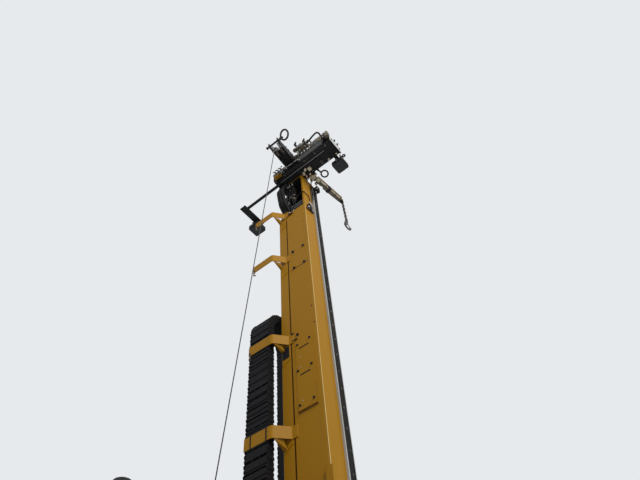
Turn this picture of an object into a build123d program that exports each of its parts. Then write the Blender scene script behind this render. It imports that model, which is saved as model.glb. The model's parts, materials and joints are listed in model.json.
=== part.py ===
from build123d import *
import os
from math import atan2, cos, degrees, hypot, pi, radians, sin

# A crawler drilling rig with a box-section mast, in its parked position with the mast upright.
# X runs forward from the machine to the borehole, Y to the machine's left, Z up, in millimetres.
# The origin is the centre of the borehole at ground level, on the drilling axis.

# Running fits and seats
fit = 0.5  # radial room between a pin and its bore
seat = 0.3  # room between curved faces that lie against each other
running_gap = 6  # room beside a sliding piece

# Mast section and heights
mast_stand = 330  # drilling axis to the front face of the mast
mast_width = 557
mast_depth = 430
mast_wall = 12
mast_foot_z = 350
crown_z = 8060  # underside of the crown beam
head_height = 1010
mast_box_top_z = crown_z - head_height
back_box_depth = 207
waist_depth = 92
waist_inset = 26
rail_thickness = 43.5
channel_width = 340
channel_depth = 60
seam_y = 117  # the joint that runs the whole length of the back plate
seam_width = 8
seam_depth = 6

# Mast cradle and its slide rails
cradle_low_z = 1250
cradle_high_z = 2230
cradle_plate = 30
cradle_pad_length = 150
slide_rail_thickness = 30
slide_rail_overhang = 40
slide_rail_low_z = 450
slide_rail_high_z = 2500

# Boom and the pins of its linkage, in the plane of symmetry
boom_foot_x, boom_foot_z = -2300, 1100
tilt_pin_x, tilt_pin_z = -1110, 2100
boom_width = 300
boom_height = 290
pivot_pin_radius = 45
cylinder_pin_radius = 32
tilt_crank = 360  # tilt pin to the rod pins of the tilt cylinders
tilt_crank_angle = 272.5  # direction of that crank at rest, from +X towards +Z
tilt_barrel_reach = 1300  # tilt pin to the barrel pins, along the boom
tilt_cylinder_y = 270
tilt_barrel_radius = 55
tilt_rod_radius = 30
lift_cylinder_x, lift_cylinder_z = -1800, 620
lift_lug_reach = 750  # boom foot pin to the lift rod's lug, along the boom
lift_lug_drop = 200
lift_barrel_radius = 62
lift_rod_radius = 35

# Undercarriage
track_gauge = 1900  # centre to centre of the tracks
track_width = 400
track_height = 700
track_length = 3200
track_front_x = -1700
track_band = 38
grouser_height = 32
grouser_width = 46
grouser_count = 44
roller_radius = 75
roller_count = 6
roller_pitch = 340
tooth_count = 22
track_back_x = track_front_x - track_length

# Car body and deck
car_front_x, car_back_x = -1950, -4700
car_width = 1100
car_low_z, car_high_z = 330, 780
deck_back_x = -5600
deck_width = 1900
deck_thickness = 60

# Engine hood
hood_front_x = -3960
hood_back_x = -5580
hood_width = 1800
hood_top_z = 1720
hood_wall = 30
door_front_x = -4120
door_back_x = -5280
door_low_z = 930
door_high_z = 1600

# Support jacks, which stand clear of both ends of the tracks and of the deck
jack_tube = 150
jack_leg = 110
jack_tube_low_z = 420
jack_pad_radius = 150
jack_pad_z = 300  # underside of a retracted pad
front_jack_x = track_front_x + jack_tube / 2 + 105
rear_jack_x = track_back_x - jack_tube / 2 - 155
front_jack_y = 930
rear_jack_y = deck_width / 2 + jack_tube / 2 + 35
# Columns: name, X, side, distance from the middle, top of the tube
jack_table = (
    ("jack_leg_front_left", front_jack_x, 1, front_jack_y, 1120),
    ("jack_leg_front_right", front_jack_x, -1, front_jack_y, 1120),
    ("jack_leg_rear_left", rear_jack_x, 1, rear_jack_y, 900),
    ("jack_leg_rear_right", rear_jack_x, -1, rear_jack_y, 900),
)

# Post of the control console
post_x, post_y, post_top_z = -2050, 910, 2260
post_radius = 38
console_low_z, console_high_z = 1180, 1420

# Rotary head and its carriage
carriage_low_z = 900
carriage_height = 820
carriage_plate = 40
cheek_thickness = 40
spindle_radius = 70
spindle_low_z = 820
head_low_z = 1020

# Energy chain beside the mast
chain_y = 485
chain_width = 300
chain_rear_x = -930
chain_thickness = 90
chain_bend_radius = 300  # outside of the bend
chain_top_z = 4850
chain_fixed_end_z = 2400
chain_moving_end_z = 1900
chain_pitch = 120

# Crown beam across the top of the mast
crown_height = 150
crown_rear_reach = 210  # behind the back of the mast
crown_depth = 320
crown_right_y, crown_left_y = -1080, 220

# Hoisting winch, sheaves and rope
winch_x, winch_z = -1280, 1700
drum_radius = 110
drum_length = 240
rope_radius = 6
rope_drum_y = 615  # where the rope leaves the drum
sheave_radius = 110
sheave_width = 34
arm_sheave_x, arm_sheave_y = -1290, -184
arm_sheave_z = crown_z + 200

# Heights of the four brackets up the left of the mast
bracket_table = (3020, 4265, mast_box_top_z - 1185, mast_box_top_z + 10)

# Derived places
mast_front_x = -mast_stand
mast_back_x = mast_front_x - mast_depth
mast_half = mast_width / 2
waist_front_x = mast_back_x + back_box_depth + waist_depth
deck_top_z = car_high_z + deck_thickness
track_y = track_gauge / 2
track_centre_x = track_front_x - track_length / 2
wheel_radius = track_height / 2
wheel_spacing = track_length - track_height
boom_length = hypot(tilt_pin_x - boom_foot_x, tilt_pin_z - boom_foot_z)
boom_angle = degrees(atan2(tilt_pin_z - boom_foot_z, tilt_pin_x - boom_foot_x))


def along(angle, reach, drop=0.0, x=0.0, z=0.0):
    """Return the point in the X-Z plane at a reach and a drop below a line that leaves (x, z)."""
    a = radians(angle)
    return (x + reach * cos(a) + drop * sin(a), z + reach * sin(a) - drop * cos(a))


tilt_rod_pin = along(tilt_crank_angle, tilt_crank, x=tilt_pin_x, z=tilt_pin_z)
tilt_barrel_pin = along(boom_angle, boom_length - tilt_barrel_reach, x=boom_foot_x, z=boom_foot_z)
lift_rod_pin = along(boom_angle, lift_lug_reach, lift_lug_drop, boom_foot_x, boom_foot_z)
lift_barrel_pin = (lift_cylinder_x, lift_cylinder_z)

os.makedirs("parts", exist_ok=True)


def finish(part, name):
    """Label a finished piece and write it to its file."""
    part.label = name
    export_step(part, f"parts/{name}.step")


def side_plate(outline, y_middle, thickness, mode=Mode.ADD):
    """Extrude an outline of the X-Z plane to a plate that stands across Y."""
    with BuildSketch(Plane.XZ.offset(-y_middle)) as face:
        with BuildLine():
            Polyline(*outline, close=True)
        make_face()
    extrude(face.sketch, amount=thickness / 2, both=True, mode=mode)


def cross_pin(x, z, y_middle, radius, length, mode=Mode.ADD):
    """Put a round bar or a bore across Y."""
    with BuildSketch(Plane.XZ.offset(-y_middle)) as face:
        with Locations((x, z)):
            Circle(radius)
    extrude(face.sketch, amount=length / 2, both=True, mode=mode)


def block(x0, x1, y0, y1, z0, z1, mode=Mode.ADD):
    """Put an upright block between two corners."""
    with Locations(((x0 + x1) / 2, (y0 + y1) / 2, (z0 + z1) / 2)):
        Box(abs(x1 - x0), abs(y1 - y0), abs(z1 - z0), mode=mode)


def capsule_plate(start, end, start_radius, end_radius, y_middle, thickness):
    """Put a plate across Y whose outline is the hull of two round eyes."""
    with BuildSketch(Plane.XZ.offset(-y_middle)) as face:
        with Locations(start):
            Circle(start_radius)
        with Locations(end):
            Circle(end_radius)
        make_hull()
    extrude(face.sketch, amount=thickness / 2, both=True)


# Mast beam: a folded steel box with a waist behind the guide rails and a channel in its front
waist_half = mast_half - waist_inset
front_half = mast_half - rail_thickness
with BuildPart() as mast_beam:
    with BuildSketch(Plane.XY.offset(mast_foot_z)) as beam_section:
        with BuildLine():
            half = Polyline(
                (mast_back_x, 0),
                (mast_back_x, mast_half),
                (mast_back_x + back_box_depth, mast_half),
                (mast_back_x + back_box_depth, waist_half),
                (waist_front_x, waist_half),
                (waist_front_x, front_half),
                (mast_front_x, front_half),
                (mast_front_x, channel_width / 2),
                (mast_front_x - channel_depth, channel_width / 2),
                (mast_front_x - channel_depth, 0),
            )
            mirror(half, about=Plane.XZ)
        make_face()
        back_corners = beam_section.vertices().group_by(Axis.X)[0].sort_by(Axis.Y)
        chamfer([back_corners[0], back_corners[-1]], mast_wall)
    extrude(amount=mast_box_top_z - mast_foot_z)
    with BuildSketch(Plane.XY.offset(mast_foot_z + mast_wall)) as hollow_section:
        with Locations((mast_back_x + back_box_depth / 2, 0)):
            Rectangle(back_box_depth - 2 * mast_wall, mast_width - 2 * mast_wall)
        hollow_front_x = mast_front_x - channel_depth - mast_wall
        with Locations(((mast_back_x + mast_wall + hollow_front_x) / 2, 0)):
            Rectangle(hollow_front_x - mast_back_x - mast_wall, 2 * (front_half - mast_wall))
    extrude(amount=mast_box_top_z - mast_foot_z - 2 * mast_wall, mode=Mode.SUBTRACT)
    block(
        mast_back_x - seam_depth, mast_back_x + seam_depth, seam_y - seam_width / 2, seam_y + seam_width / 2,
        mast_foot_z, mast_box_top_z, mode=Mode.SUBTRACT,
    )
finish(mast_beam.part, "mast_beam")

# Guide rails on both sides of the mast's front, up to the crown, each with a bare rim
rail_low_z, rail_high_z = mast_foot_z + 60, crown_z - 90
rail_front_x = mast_front_x - 4
rail_rim_depth = 23
with BuildPart() as guide_rails:
    with BuildSketch(Plane.XY.offset(rail_low_z)):
        with Locations(((waist_front_x + rail_front_x) / 2, mast_half - rail_thickness / 2)):
            Rectangle(rail_front_x - waist_front_x, rail_thickness)
        with Locations((rail_front_x - rail_rim_depth, mast_half)):
            Rectangle(seam_width, seam_depth, mode=Mode.SUBTRACT)
        mirror(about=Plane.XZ)
    extrude(amount=rail_high_z - rail_low_z)
finish(guide_rails.part, "guide_rails")

# Slide rails along the back corners, which the cradle holds
with BuildPart() as slide_rails:
    with BuildSketch(Plane.XY.offset(slide_rail_low_z)):
        with Locations((mast_back_x - slide_rail_thickness / 2, mast_half)):
            Rectangle(slide_rail_thickness, 2 * slide_rail_overhang)
        mirror(about=Plane.XZ)
    extrude(amount=slide_rail_high_z - slide_rail_low_z)
finish(slide_rails.part, "slide_rails")

# Cradle: a back plate with claws round the slide rails and two pairs of lugs behind
claw_inner_y = mast_half + slide_rail_overhang + running_gap
claw_thickness = 35
cradle_front_x = mast_back_x - slide_rail_thickness - running_gap
cradle_back_x = cradle_front_x - cradle_plate
claw_front_x = mast_back_x + running_gap
claw_lip = slide_rail_overhang
lug_gap_y = boom_width / 2 + running_gap
lug_thickness = 30
outer_lug_y = tilt_cylinder_y + tilt_barrel_radius + running_gap + lug_thickness / 2
inner_lug_y = lug_gap_y + lug_thickness / 2
tilt_lug_gap = outer_lug_y - inner_lug_y - lug_thickness
tilt_eye_radius = 95
pin_head = 15
with BuildPart() as mast_cradle:
    block(cradle_back_x, cradle_front_x, -claw_inner_y, claw_inner_y, cradle_low_z, cradle_high_z)
    for side in (-1, 1):
        block(
            cradle_back_x, claw_front_x + claw_thickness, side * claw_inner_y,
            side * (claw_inner_y + claw_thickness), cradle_low_z, cradle_high_z,
        )
        block(
            claw_front_x, claw_front_x + claw_thickness, side * (claw_inner_y - claw_lip + running_gap),
            side * claw_inner_y, cradle_low_z, cradle_high_z,
        )
        for z_pad in (cradle_low_z, cradle_high_z - cradle_pad_length):
            block(cradle_front_x, mast_back_x - slide_rail_thickness - seat, side * (mast_half - slide_rail_overhang),
                  side * claw_inner_y, z_pad, z_pad + cradle_pad_length)
            block(mast_back_x - slide_rail_thickness, mast_back_x, side * (mast_half + slide_rail_overhang + seat),
                  side * claw_inner_y, z_pad, z_pad + cradle_pad_length)
            block(mast_back_x + seat, claw_front_x, side * (mast_half + 2 * running_gap), side * claw_inner_y,
                  z_pad, z_pad + cradle_pad_length)
        for lug_y in (inner_lug_y, outer_lug_y):
            side_plate(
                (
                    (cradle_back_x, cradle_high_z),
                    (cradle_back_x, cradle_low_z + 200),
                    (tilt_rod_pin[0] - 60, tilt_rod_pin[1] - 75),
                    (tilt_rod_pin[0] - 75, tilt_rod_pin[1]),
                    (tilt_pin_x - tilt_eye_radius, tilt_pin_z),
                    (tilt_pin_x - tilt_eye_radius / 2, tilt_pin_z + tilt_eye_radius),
                ),
                side * lug_y, lug_thickness,
            )
        cross_pin(*tilt_rod_pin, side * (outer_lug_y + lug_thickness / 2 + pin_head / 2), cylinder_pin_radius + 10,
                  pin_head)
    cross_pin(tilt_pin_x, tilt_pin_z, 0, pivot_pin_radius + fit, 2 * outer_lug_y + 100, mode=Mode.SUBTRACT)
finish(mast_cradle.part, "mast_cradle")

# Boom arm: a deep box between its foot eye and the eye that carries the cradle
foot_eye_radius = 105
cylinder_eye_radius = 58
lift_lug_root_radius, lift_lug_eye_radius = 110, 62
lift_lug_width = 240
lift_lug_gap = 98
lift_slot_radius = cylinder_eye_radius + 37  # leaves room for the eye's small drift as the boom lifts
with BuildPart() as boom_arm:
    with BuildSketch(Plane.XZ) as boom_side:
        with Locations((boom_foot_x, boom_foot_z)):
            Circle(foot_eye_radius)
        with Locations((tilt_pin_x, tilt_pin_z)):
            Circle(tilt_eye_radius)
        with Locations(along(boom_angle, boom_length * 0.42, -10, boom_foot_x, boom_foot_z)):
            Circle(boom_height / 2)
        make_hull()
    extrude(amount=boom_width / 2, both=True)
    capsule_plate(
        along(boom_angle, lift_lug_reach, 40, boom_foot_x, boom_foot_z), lift_rod_pin, lift_lug_root_radius,
        lift_lug_eye_radius, 0, lift_lug_width,
    )
    cross_pin(*lift_rod_pin, 0, cylinder_pin_radius + 10, lift_lug_width + 2 * pin_head)
    cross_pin(*lift_rod_pin, 0, lift_slot_radius, lift_lug_gap, mode=Mode.SUBTRACT)
    cross_pin(boom_foot_x, boom_foot_z, 0, pivot_pin_radius + fit, boom_width + 20, mode=Mode.SUBTRACT)
    cross_pin(tilt_pin_x, tilt_pin_z, 0, pivot_pin_radius, 2 * outer_lug_y + lug_thickness + 30)
    cross_pin(*tilt_barrel_pin, 0, cylinder_pin_radius, 2 * (tilt_cylinder_y + 55))
finish(boom_arm.part, "boom_arm")


gland_length = 30
barrel_floor = 70  # solid end of a barrel, past its eye


def cylinder_barrel(start, end, y_middle, radius, rod_radius, eye_radius, pin_radius, length):
    """Put a cylinder's barrel on the line from its pin to the rod's pin, bored for the rod."""
    angle = degrees(atan2(end[1] - start[1], end[0] - start[0]))
    direction = Vector(cos(radians(angle)), 0, sin(radians(angle)))
    bottom = Vector(start[0], y_middle, start[1]) + direction * eye_radius * 0.7
    across = Vector(0, 1, 0)
    with BuildSketch(Plane(bottom, x_dir=across, z_dir=direction)) as tube:
        Circle(radius)
    extrude(tube.sketch, amount=length)
    gland = bottom + direction * length
    with BuildSketch(Plane(gland, x_dir=across, z_dir=direction)) as head:
        Circle(radius * 0.8)
    extrude(head.sketch, amount=gland_length)
    cross_pin(*start, y_middle, eye_radius, 2 * pin_radius)
    with BuildSketch(Plane(gland + direction * gland_length, x_dir=across, z_dir=direction)) as bore:
        Circle(rod_radius + seat)
    extrude(bore.sketch, amount=barrel_floor - length - gland_length, mode=Mode.SUBTRACT)
    cross_pin(*start, y_middle, pin_radius + fit, 4 * eye_radius, mode=Mode.SUBTRACT)


def cylinder_rod(start, end, y_middle, rod_radius, eye_radius, pin_radius, pin_length, stroke_left):
    """Put a rod on the same line, from the eye with its pin back to the stroke left above the floor."""
    angle = degrees(atan2(end[1] - start[1], end[0] - start[0]))
    direction = Vector(cos(radians(angle)), 0, sin(radians(angle)))
    tip = Vector(end[0], y_middle, end[1]) - direction * eye_radius * 0.6
    with BuildSketch(Plane(tip, x_dir=Vector(0, 1, 0), z_dir=direction)) as bar:
        Circle(rod_radius)
    floor = eye_radius * 0.7 + barrel_floor
    length = hypot(end[0] - start[0], end[1] - start[1]) - eye_radius * 0.6 - floor - stroke_left
    extrude(bar.sketch, amount=-length)
    cross_pin(*end, y_middle, eye_radius, 2 * pin_radius)
    cross_pin(*end, y_middle, pin_radius, pin_length)


lift_barrel_length = 520
lift_stroke_left = 12  # the boom rests at the bottom of its lift
tilt_barrel_length = 790
tilt_stroke_left = 70  # what the mast still leans forward
tilt_rod_pin_reach = outer_lug_y - lug_thickness / 2 - tilt_cylinder_y - seat
with BuildPart() as lift_barrel:
    cylinder_barrel(lift_barrel_pin, lift_rod_pin, 0, lift_barrel_radius, lift_rod_radius,
                    cylinder_eye_radius, cylinder_pin_radius, lift_barrel_length)
finish(lift_barrel.part, "lift_cylinder_barrel")

with BuildPart() as lift_rod:
    cylinder_rod(lift_barrel_pin, lift_rod_pin, 0, lift_rod_radius, cylinder_eye_radius,
                 cylinder_pin_radius, lift_lug_gap - 2 * seat, lift_stroke_left)
finish(lift_rod.part, "lift_cylinder_rod")

with BuildPart() as tilt_barrels:
    for side in (-1, 1):
        cylinder_barrel(tilt_barrel_pin, tilt_rod_pin, side * tilt_cylinder_y, tilt_barrel_radius, tilt_rod_radius,
                        cylinder_eye_radius, cylinder_pin_radius, tilt_barrel_length)
finish(tilt_barrels.part, "tilt_cylinder_barrels")

with BuildPart() as tilt_rods:
    for side in (-1, 1):
        cylinder_rod(tilt_barrel_pin, tilt_rod_pin, side * tilt_cylinder_y, tilt_rod_radius, cylinder_eye_radius,
                     cylinder_pin_radius, 2 * tilt_rod_pin_reach, tilt_stroke_left)
finish(tilt_rods.part, "tilt_cylinder_rods")

# Tracks: one closed band each, with its grousers in the outline
with BuildSketch(Plane.XZ) as track_outline:
    with Locations((track_centre_x, wheel_radius)):
        SlotCenterToCenter(wheel_spacing, track_height - 2 * grouser_height)
    straight = wheel_spacing
    half_turn = pi * (wheel_radius - grouser_height)
    loop_length = 2 * (straight + half_turn)
    for shoe in range(grouser_count):
        s = shoe * loop_length / grouser_count
        reach = wheel_radius - grouser_height / 2 - 2
        if s < straight:
            spot = (track_centre_x - straight / 2 + s, wheel_radius - reach, 0)
        elif s < straight + half_turn:
            turn = (s - straight) / half_turn * 180
            spot = (track_centre_x + straight / 2 + reach * sin(radians(turn)),
                    wheel_radius - reach * cos(radians(turn)), turn)
        elif s < 2 * straight + half_turn:
            spot = (track_centre_x + straight / 2 - (s - straight - half_turn), wheel_radius + reach, 180)
        else:
            turn = (s - 2 * straight - half_turn) / half_turn * 180
            spot = (track_centre_x - straight / 2 - reach * sin(radians(turn)),
                    wheel_radius + reach * cos(radians(turn)), 180 + turn)
        with Locations(Location((spot[0], spot[1], 0), (0, 0, spot[2]))):
            Trapezoid(grouser_width, grouser_height + 4, 78, rotation=180)
    with Locations((track_centre_x, wheel_radius)):
        SlotCenterToCenter(wheel_spacing, track_height - 2 * (grouser_height + track_band), mode=Mode.SUBTRACT)

for name, side in (("track_left", 1), ("track_right", -1)):
    with BuildPart() as track:
        extrude(track_outline.sketch.moved(Location((0, side * track_y, 0))), amount=track_width / 2, both=True)
    finish(track.part, name)

# Track frames with the idler, the drive sprocket and the rollers inside each band
inside_radius = wheel_radius - grouser_height - track_band
frame_height = 210
frame_width = 190
roller_z = grouser_height + track_band + roller_radius + seat
wheel_width = 150
tooth_gap_radius = 22
for name, side in (("track_frame_left", 1), ("track_frame_right", -1)):
    with BuildPart() as frame:
        y_mid = side * track_y
        side_plate(
            (
                (track_centre_x - wheel_spacing / 2 + 130, wheel_radius - 60),
                (track_centre_x - wheel_spacing / 2 + 130, wheel_radius + 60),
                (track_centre_x - wheel_spacing / 2 + 330, wheel_radius + frame_height / 2),
                (track_centre_x + wheel_spacing / 2 - 330, wheel_radius + frame_height / 2),
                (track_centre_x + wheel_spacing / 2 - 130, wheel_radius + 60),
                (track_centre_x + wheel_spacing / 2 - 130, wheel_radius - 60),
                (track_centre_x + wheel_spacing / 2 - 330, wheel_radius - frame_height / 2),
                (track_centre_x - wheel_spacing / 2 + 330, wheel_radius - frame_height / 2),
            ),
            y_mid, frame_width,
        )
        for end in (-1, 1):
            x_wheel = track_centre_x + end * wheel_spacing / 2
            with BuildSketch(Plane.XZ.offset(-y_mid)) as wheel_face:
                with Locations((x_wheel, wheel_radius)):
                    Circle(inside_radius - seat)
                    with PolarLocations(inside_radius * 0.6, 6):
                        Circle(inside_radius * 0.15, mode=Mode.SUBTRACT)
                    if end < 0:
                        with PolarLocations(inside_radius, tooth_count):
                            Circle(tooth_gap_radius, mode=Mode.SUBTRACT)
            extrude(wheel_face.sketch, amount=wheel_width / 2, both=True)
            block(x_wheel - end * 100, x_wheel - end * 160, y_mid - 70, y_mid + 70, wheel_radius - 50, wheel_radius + 50)
        for roller in range(roller_count):
            x_roller = track_centre_x + (roller - (roller_count - 1) / 2) * roller_pitch
            cross_pin(x_roller, roller_z, y_mid, roller_radius, wheel_width)
            block(x_roller - 30, x_roller + 30, y_mid - 95, y_mid + 95, roller_z, wheel_radius - frame_height / 2 + 5)
        cross_pin(track_centre_x, track_height - roller_z, y_mid, roller_radius, wheel_width)
        block(track_centre_x - 30, track_centre_x + 30, y_mid - 40, y_mid + 40,
              wheel_radius + frame_height / 2 - 5, track_height - roller_z)
        block(track_centre_x - 700, track_centre_x + 700, side * car_width / 2, y_mid - side * frame_width / 2,
              wheel_radius - 70, wheel_radius + 70)
    finish(frame.part, name)

# Car body: the box between the tracks, its lift lugs, and the outriggers that hold the jacks
lift_lug_y = lift_barrel_radius + running_gap
with BuildPart() as car_body:
    with BuildSketch(Plane.XZ) as car_side:
        with BuildLine():
            Polyline(
                (car_front_x, car_low_z + 60), (car_front_x - 120, car_low_z), (car_back_x + 200, car_low_z),
                (car_back_x, car_low_z + 120), (car_back_x, car_high_z), (car_front_x, car_high_z), close=True,
            )
        make_face()
    extrude(amount=car_width / 2, both=True)
    for side in (-1, 1):
        with BuildSketch(Plane.XZ.offset(-side * lift_lug_y)) as lug:
            with Locations(lift_barrel_pin):
                Circle(70)
            with Locations((car_front_x - 20, lift_cylinder_z), (car_front_x - 20, lift_cylinder_z - 120)):
                Circle(70)
            make_hull()
        extrude(lug.sketch, amount=side * -30)
    cross_pin(*lift_barrel_pin, 0, cylinder_pin_radius, 2 * lift_lug_y + 80)
    for name, jack_x, side, jack_y, jack_tube_high_z in jack_table:
        ahead = 1 if jack_x > track_centre_x else -1
        joint_x = car_front_x if ahead > 0 else car_back_x
        inner = side * (car_width / 2 - 160)
        block(joint_x - ahead * 60, jack_x + ahead * jack_tube / 2, inner, side * (car_width / 2), 480, 680)
        block(jack_x - jack_tube / 2, jack_x + jack_tube / 2, inner, side * (jack_y - jack_tube / 2), 480, 680)
        block(jack_x - jack_tube / 2, jack_x + jack_tube / 2, side * jack_y - jack_tube / 2,
              side * jack_y + jack_tube / 2, jack_tube_low_z, jack_tube_high_z)
        block(jack_x - jack_leg / 2 - fit, jack_x + jack_leg / 2 + fit, side * jack_y - jack_leg / 2 - fit,
              side * jack_y + jack_leg / 2 + fit, jack_tube_low_z - 1, jack_tube_high_z - 20, mode=Mode.SUBTRACT)
finish(car_body.part, "car_body")

# Support jack legs with their round pads
jack_pad_thickness = 25
for name, jack_x, side, jack_y, jack_tube_high_z in jack_table:
    with BuildPart() as leg:
        with BuildSketch(Plane.XY.offset(jack_pad_z)):
            with Locations((jack_x, side * jack_y)):
                Circle(jack_pad_radius)
        extrude(amount=jack_pad_thickness)
        with BuildSketch(Plane.XY.offset(jack_pad_z + jack_pad_thickness)):
            with Locations((jack_x, side * jack_y)):
                Circle(jack_leg * 0.75)
        extrude(amount=40, taper=20)
        block(jack_x - jack_leg / 2, jack_x + jack_leg / 2, side * jack_y - jack_leg / 2, side * jack_y + jack_leg / 2,
              jack_pad_z + jack_pad_thickness + 10, jack_tube_high_z - 40)
    finish(leg.part, name)

# Deck with a folded edge, open over the boom's foot
deck_front_x = car_front_x - 60
with BuildPart() as deck:
    block(deck_back_x, deck_front_x, -deck_width / 2, deck_width / 2, car_high_z, deck_top_z)
    for side in (-1, 1):
        block(deck_back_x, deck_front_x, side * deck_width / 2, side * (deck_width / 2 - 25),
              car_high_z - 40, car_high_z)
    block(post_x - 130, post_x + 130, deck_width / 2 - 60, post_y + 120, car_high_z, deck_top_z)
finish(deck.part, "deck")

# Pedestal: two cheeks on the deck that hold the boom's foot pin
cheek_y = boom_width / 2 + running_gap + 15
with BuildPart() as pedestal:
    for side in (-1, 1):
        with BuildSketch(Plane.XZ.offset(-side * (cheek_y + 15))) as cheek:
            with BuildLine():
                Polyline(
                    (boom_foot_x - 420, deck_top_z), (boom_foot_x + 230, deck_top_z),
                    (boom_foot_x + 85, boom_foot_z + 40), (boom_foot_x - 120, boom_foot_z + 60), close=True,
                )
            make_face()
            with Locations((boom_foot_x, boom_foot_z)):
                Circle(100)
        extrude(cheek.sketch, amount=side * 30)
    block(boom_foot_x - 420, boom_foot_x - 340, -cheek_y, cheek_y, deck_top_z, deck_top_z + 120)
    cross_pin(boom_foot_x, boom_foot_z, 0, pivot_pin_radius, 2 * cheek_y + 60)
finish(pedestal.part, "boom_pedestal")

# Engine hood: a hollow shell, open below and behind, with an opening in each side for a door
hood_slope = 230
door_gap = 5
hinge_radius = 14
hinge_pin_radius = 6
hinge_length = 90
hinge_ear = 15
hinge_x = door_front_x - door_gap - hinge_radius
hinge_y = hood_width / 2 + hinge_radius - 2
hinge_heights = (door_low_z + 110, door_high_z - 110)
with BuildPart() as hood_shell:
    with BuildSketch(Plane.XZ) as hood_side:
        with BuildLine():
            Polyline(
                (hood_front_x, deck_top_z), (hood_front_x, hood_top_z - 60), (hood_front_x - 60, hood_top_z),
                (hood_back_x + hood_slope, hood_top_z), (hood_back_x, hood_top_z - 140), (hood_back_x, deck_top_z),
                close=True,
            )
        make_face()
    extrude(amount=hood_width / 2, both=True)
    fillet(hood_shell.edges().filter_by(Axis.X).group_by(Axis.Z)[-1], 60)
    offset(amount=-hood_wall, openings=hood_shell.faces().sort_by(Axis.Z)[0])
    block(door_back_x, door_front_x, -hood_width, hood_width, door_low_z, door_high_z, mode=Mode.SUBTRACT)
    block(hood_back_x - 10, hood_back_x + hood_wall + 5, -620, 620, door_low_z + 40, hood_top_z - 260,
          mode=Mode.SUBTRACT)
    for side in (-1, 1):
        for z_hinge in hinge_heights:
            for z_ear in (z_hinge - hinge_length / 2 - hinge_ear - seat, z_hinge + hinge_length / 2 + seat):
                block(hinge_x, hinge_x + 45, side * hood_width / 2, side * (hinge_y + hinge_radius), z_ear,
                      z_ear + hinge_ear)
            with BuildSketch(Plane.XY.offset(z_hinge - hinge_length / 2 - hinge_ear)) as hinge_pin:
                with Locations((hinge_x, side * hinge_y)):
                    Circle(hinge_pin_radius)
            extrude(hinge_pin.sketch, amount=hinge_length + 2 * hinge_ear)
finish(hood_shell.part, "hood_shell")

# Doors in the hood's sides, hinged at their front edges
for name, side in (("hood_door_left", 1), ("hood_door_right", -1)):
    with BuildPart() as door:
        outer = side * hood_width / 2
        block(door_back_x + door_gap, door_front_x - door_gap, outer - side * hood_wall, outer,
              door_low_z + door_gap, door_high_z - door_gap)
        with BuildSketch(Plane.XZ.offset(-outer)) as vents:
            with Locations((door_back_x + 300, (door_low_z + door_high_z) / 2)):
                with GridLocations(0, 60, 1, 7):
                    SlotOverall(340, 24)
        extrude(vents.sketch, amount=hood_wall, both=True, mode=Mode.SUBTRACT)
        for z_hinge in hinge_heights:
            with BuildSketch(Plane.XY.offset(z_hinge - hinge_length / 2)) as knuckle:
                with Locations((hinge_x, side * hinge_y)):
                    Circle(hinge_radius)
            extrude(knuckle.sketch, amount=hinge_length)
            with BuildSketch(Plane.XY.offset(z_hinge - hinge_length / 2 - 1)) as knuckle_bore:
                with Locations((hinge_x, side * hinge_y)):
                    Circle(hinge_pin_radius + seat)
            extrude(knuckle_bore.sketch, amount=hinge_length + 2, mode=Mode.SUBTRACT)
        with BuildSketch(Plane.XZ.offset(-outer)) as handle:
            with Locations((door_back_x + 70, (door_low_z + door_high_z) / 2)):
                SlotOverall(120, 22, rotation=90)
        extrude(handle.sketch, amount=-side * 26)
    finish(door.part, name)

# Engine as one block with its sump, on the deck inside the hood
engine_front_x, engine_back_x = -4080, -5060
with BuildPart() as engine_block:
    block(engine_back_x, engine_front_x, -340, 340, deck_top_z, 1430)
    chamfer(engine_block.edges().filter_by(Axis.X).group_by(Axis.Z)[-1], 90)
finish(engine_block.part, "engine_block")

# Grille behind the radiator, in the hood's back wall
slat_count = 9
grille_half, grille_low_z, grille_high_z = 620 - seat, door_low_z + 40 + seat, hood_top_z - 260 - seat
with BuildPart() as grille:
    with BuildSketch(Plane.YZ.offset(hood_back_x + 2)) as grille_frame:
        with Locations((0, (grille_low_z + grille_high_z) / 2)):
            Rectangle(2 * grille_half, grille_high_z - grille_low_z)
            Rectangle(2 * grille_half - 80, grille_high_z - grille_low_z - 80, mode=Mode.SUBTRACT)
    extrude(amount=hood_wall)
    for slat in range(slat_count):
        z_slat = grille_low_z + 40 + (slat + 0.5) * (grille_high_z - grille_low_z - 80) / slat_count
        with BuildSketch(Plane.XZ.offset(-(grille_half - 38))) as slat_face:
            with Locations((hood_back_x + 2 + hood_wall / 2, z_slat)):
                Rectangle(hood_wall - 4, 7, rotation=40)
        extrude(slat_face.sketch, amount=2 * (grille_half - 38))
    block(hood_back_x + 4, hood_back_x + hood_wall - 2, -12, 12, grille_low_z + 20, grille_high_z - 20)
finish(grille.part, "radiator_grille")

# Exhaust: a silencer stub through the hood's roof with a turned-back outlet
exhaust_x, exhaust_y = -5250, -620
with BuildPart() as exhaust:
    with BuildLine() as exhaust_line:
        FilletPolyline(
            (exhaust_x, exhaust_y, hood_top_z), (exhaust_x, exhaust_y, hood_top_z + 110),
            (exhaust_x - 170, exhaust_y, hood_top_z + 150), radius=60,
        )
    with BuildSketch(Plane.XY.offset(hood_top_z)) as exhaust_end:
        with Locations((exhaust_x, exhaust_y)):
            Circle(45)
            Circle(38, mode=Mode.SUBTRACT)
    sweep(exhaust_end.sketch, path=exhaust_line.line)
    with BuildSketch(Plane.XY.offset(hood_top_z)) as flange:
        with Locations((exhaust_x, exhaust_y)):
            Circle(80)
            Circle(44, mode=Mode.SUBTRACT)
    extrude(flange.sketch, amount=10)
finish(exhaust.part, "exhaust")

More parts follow.
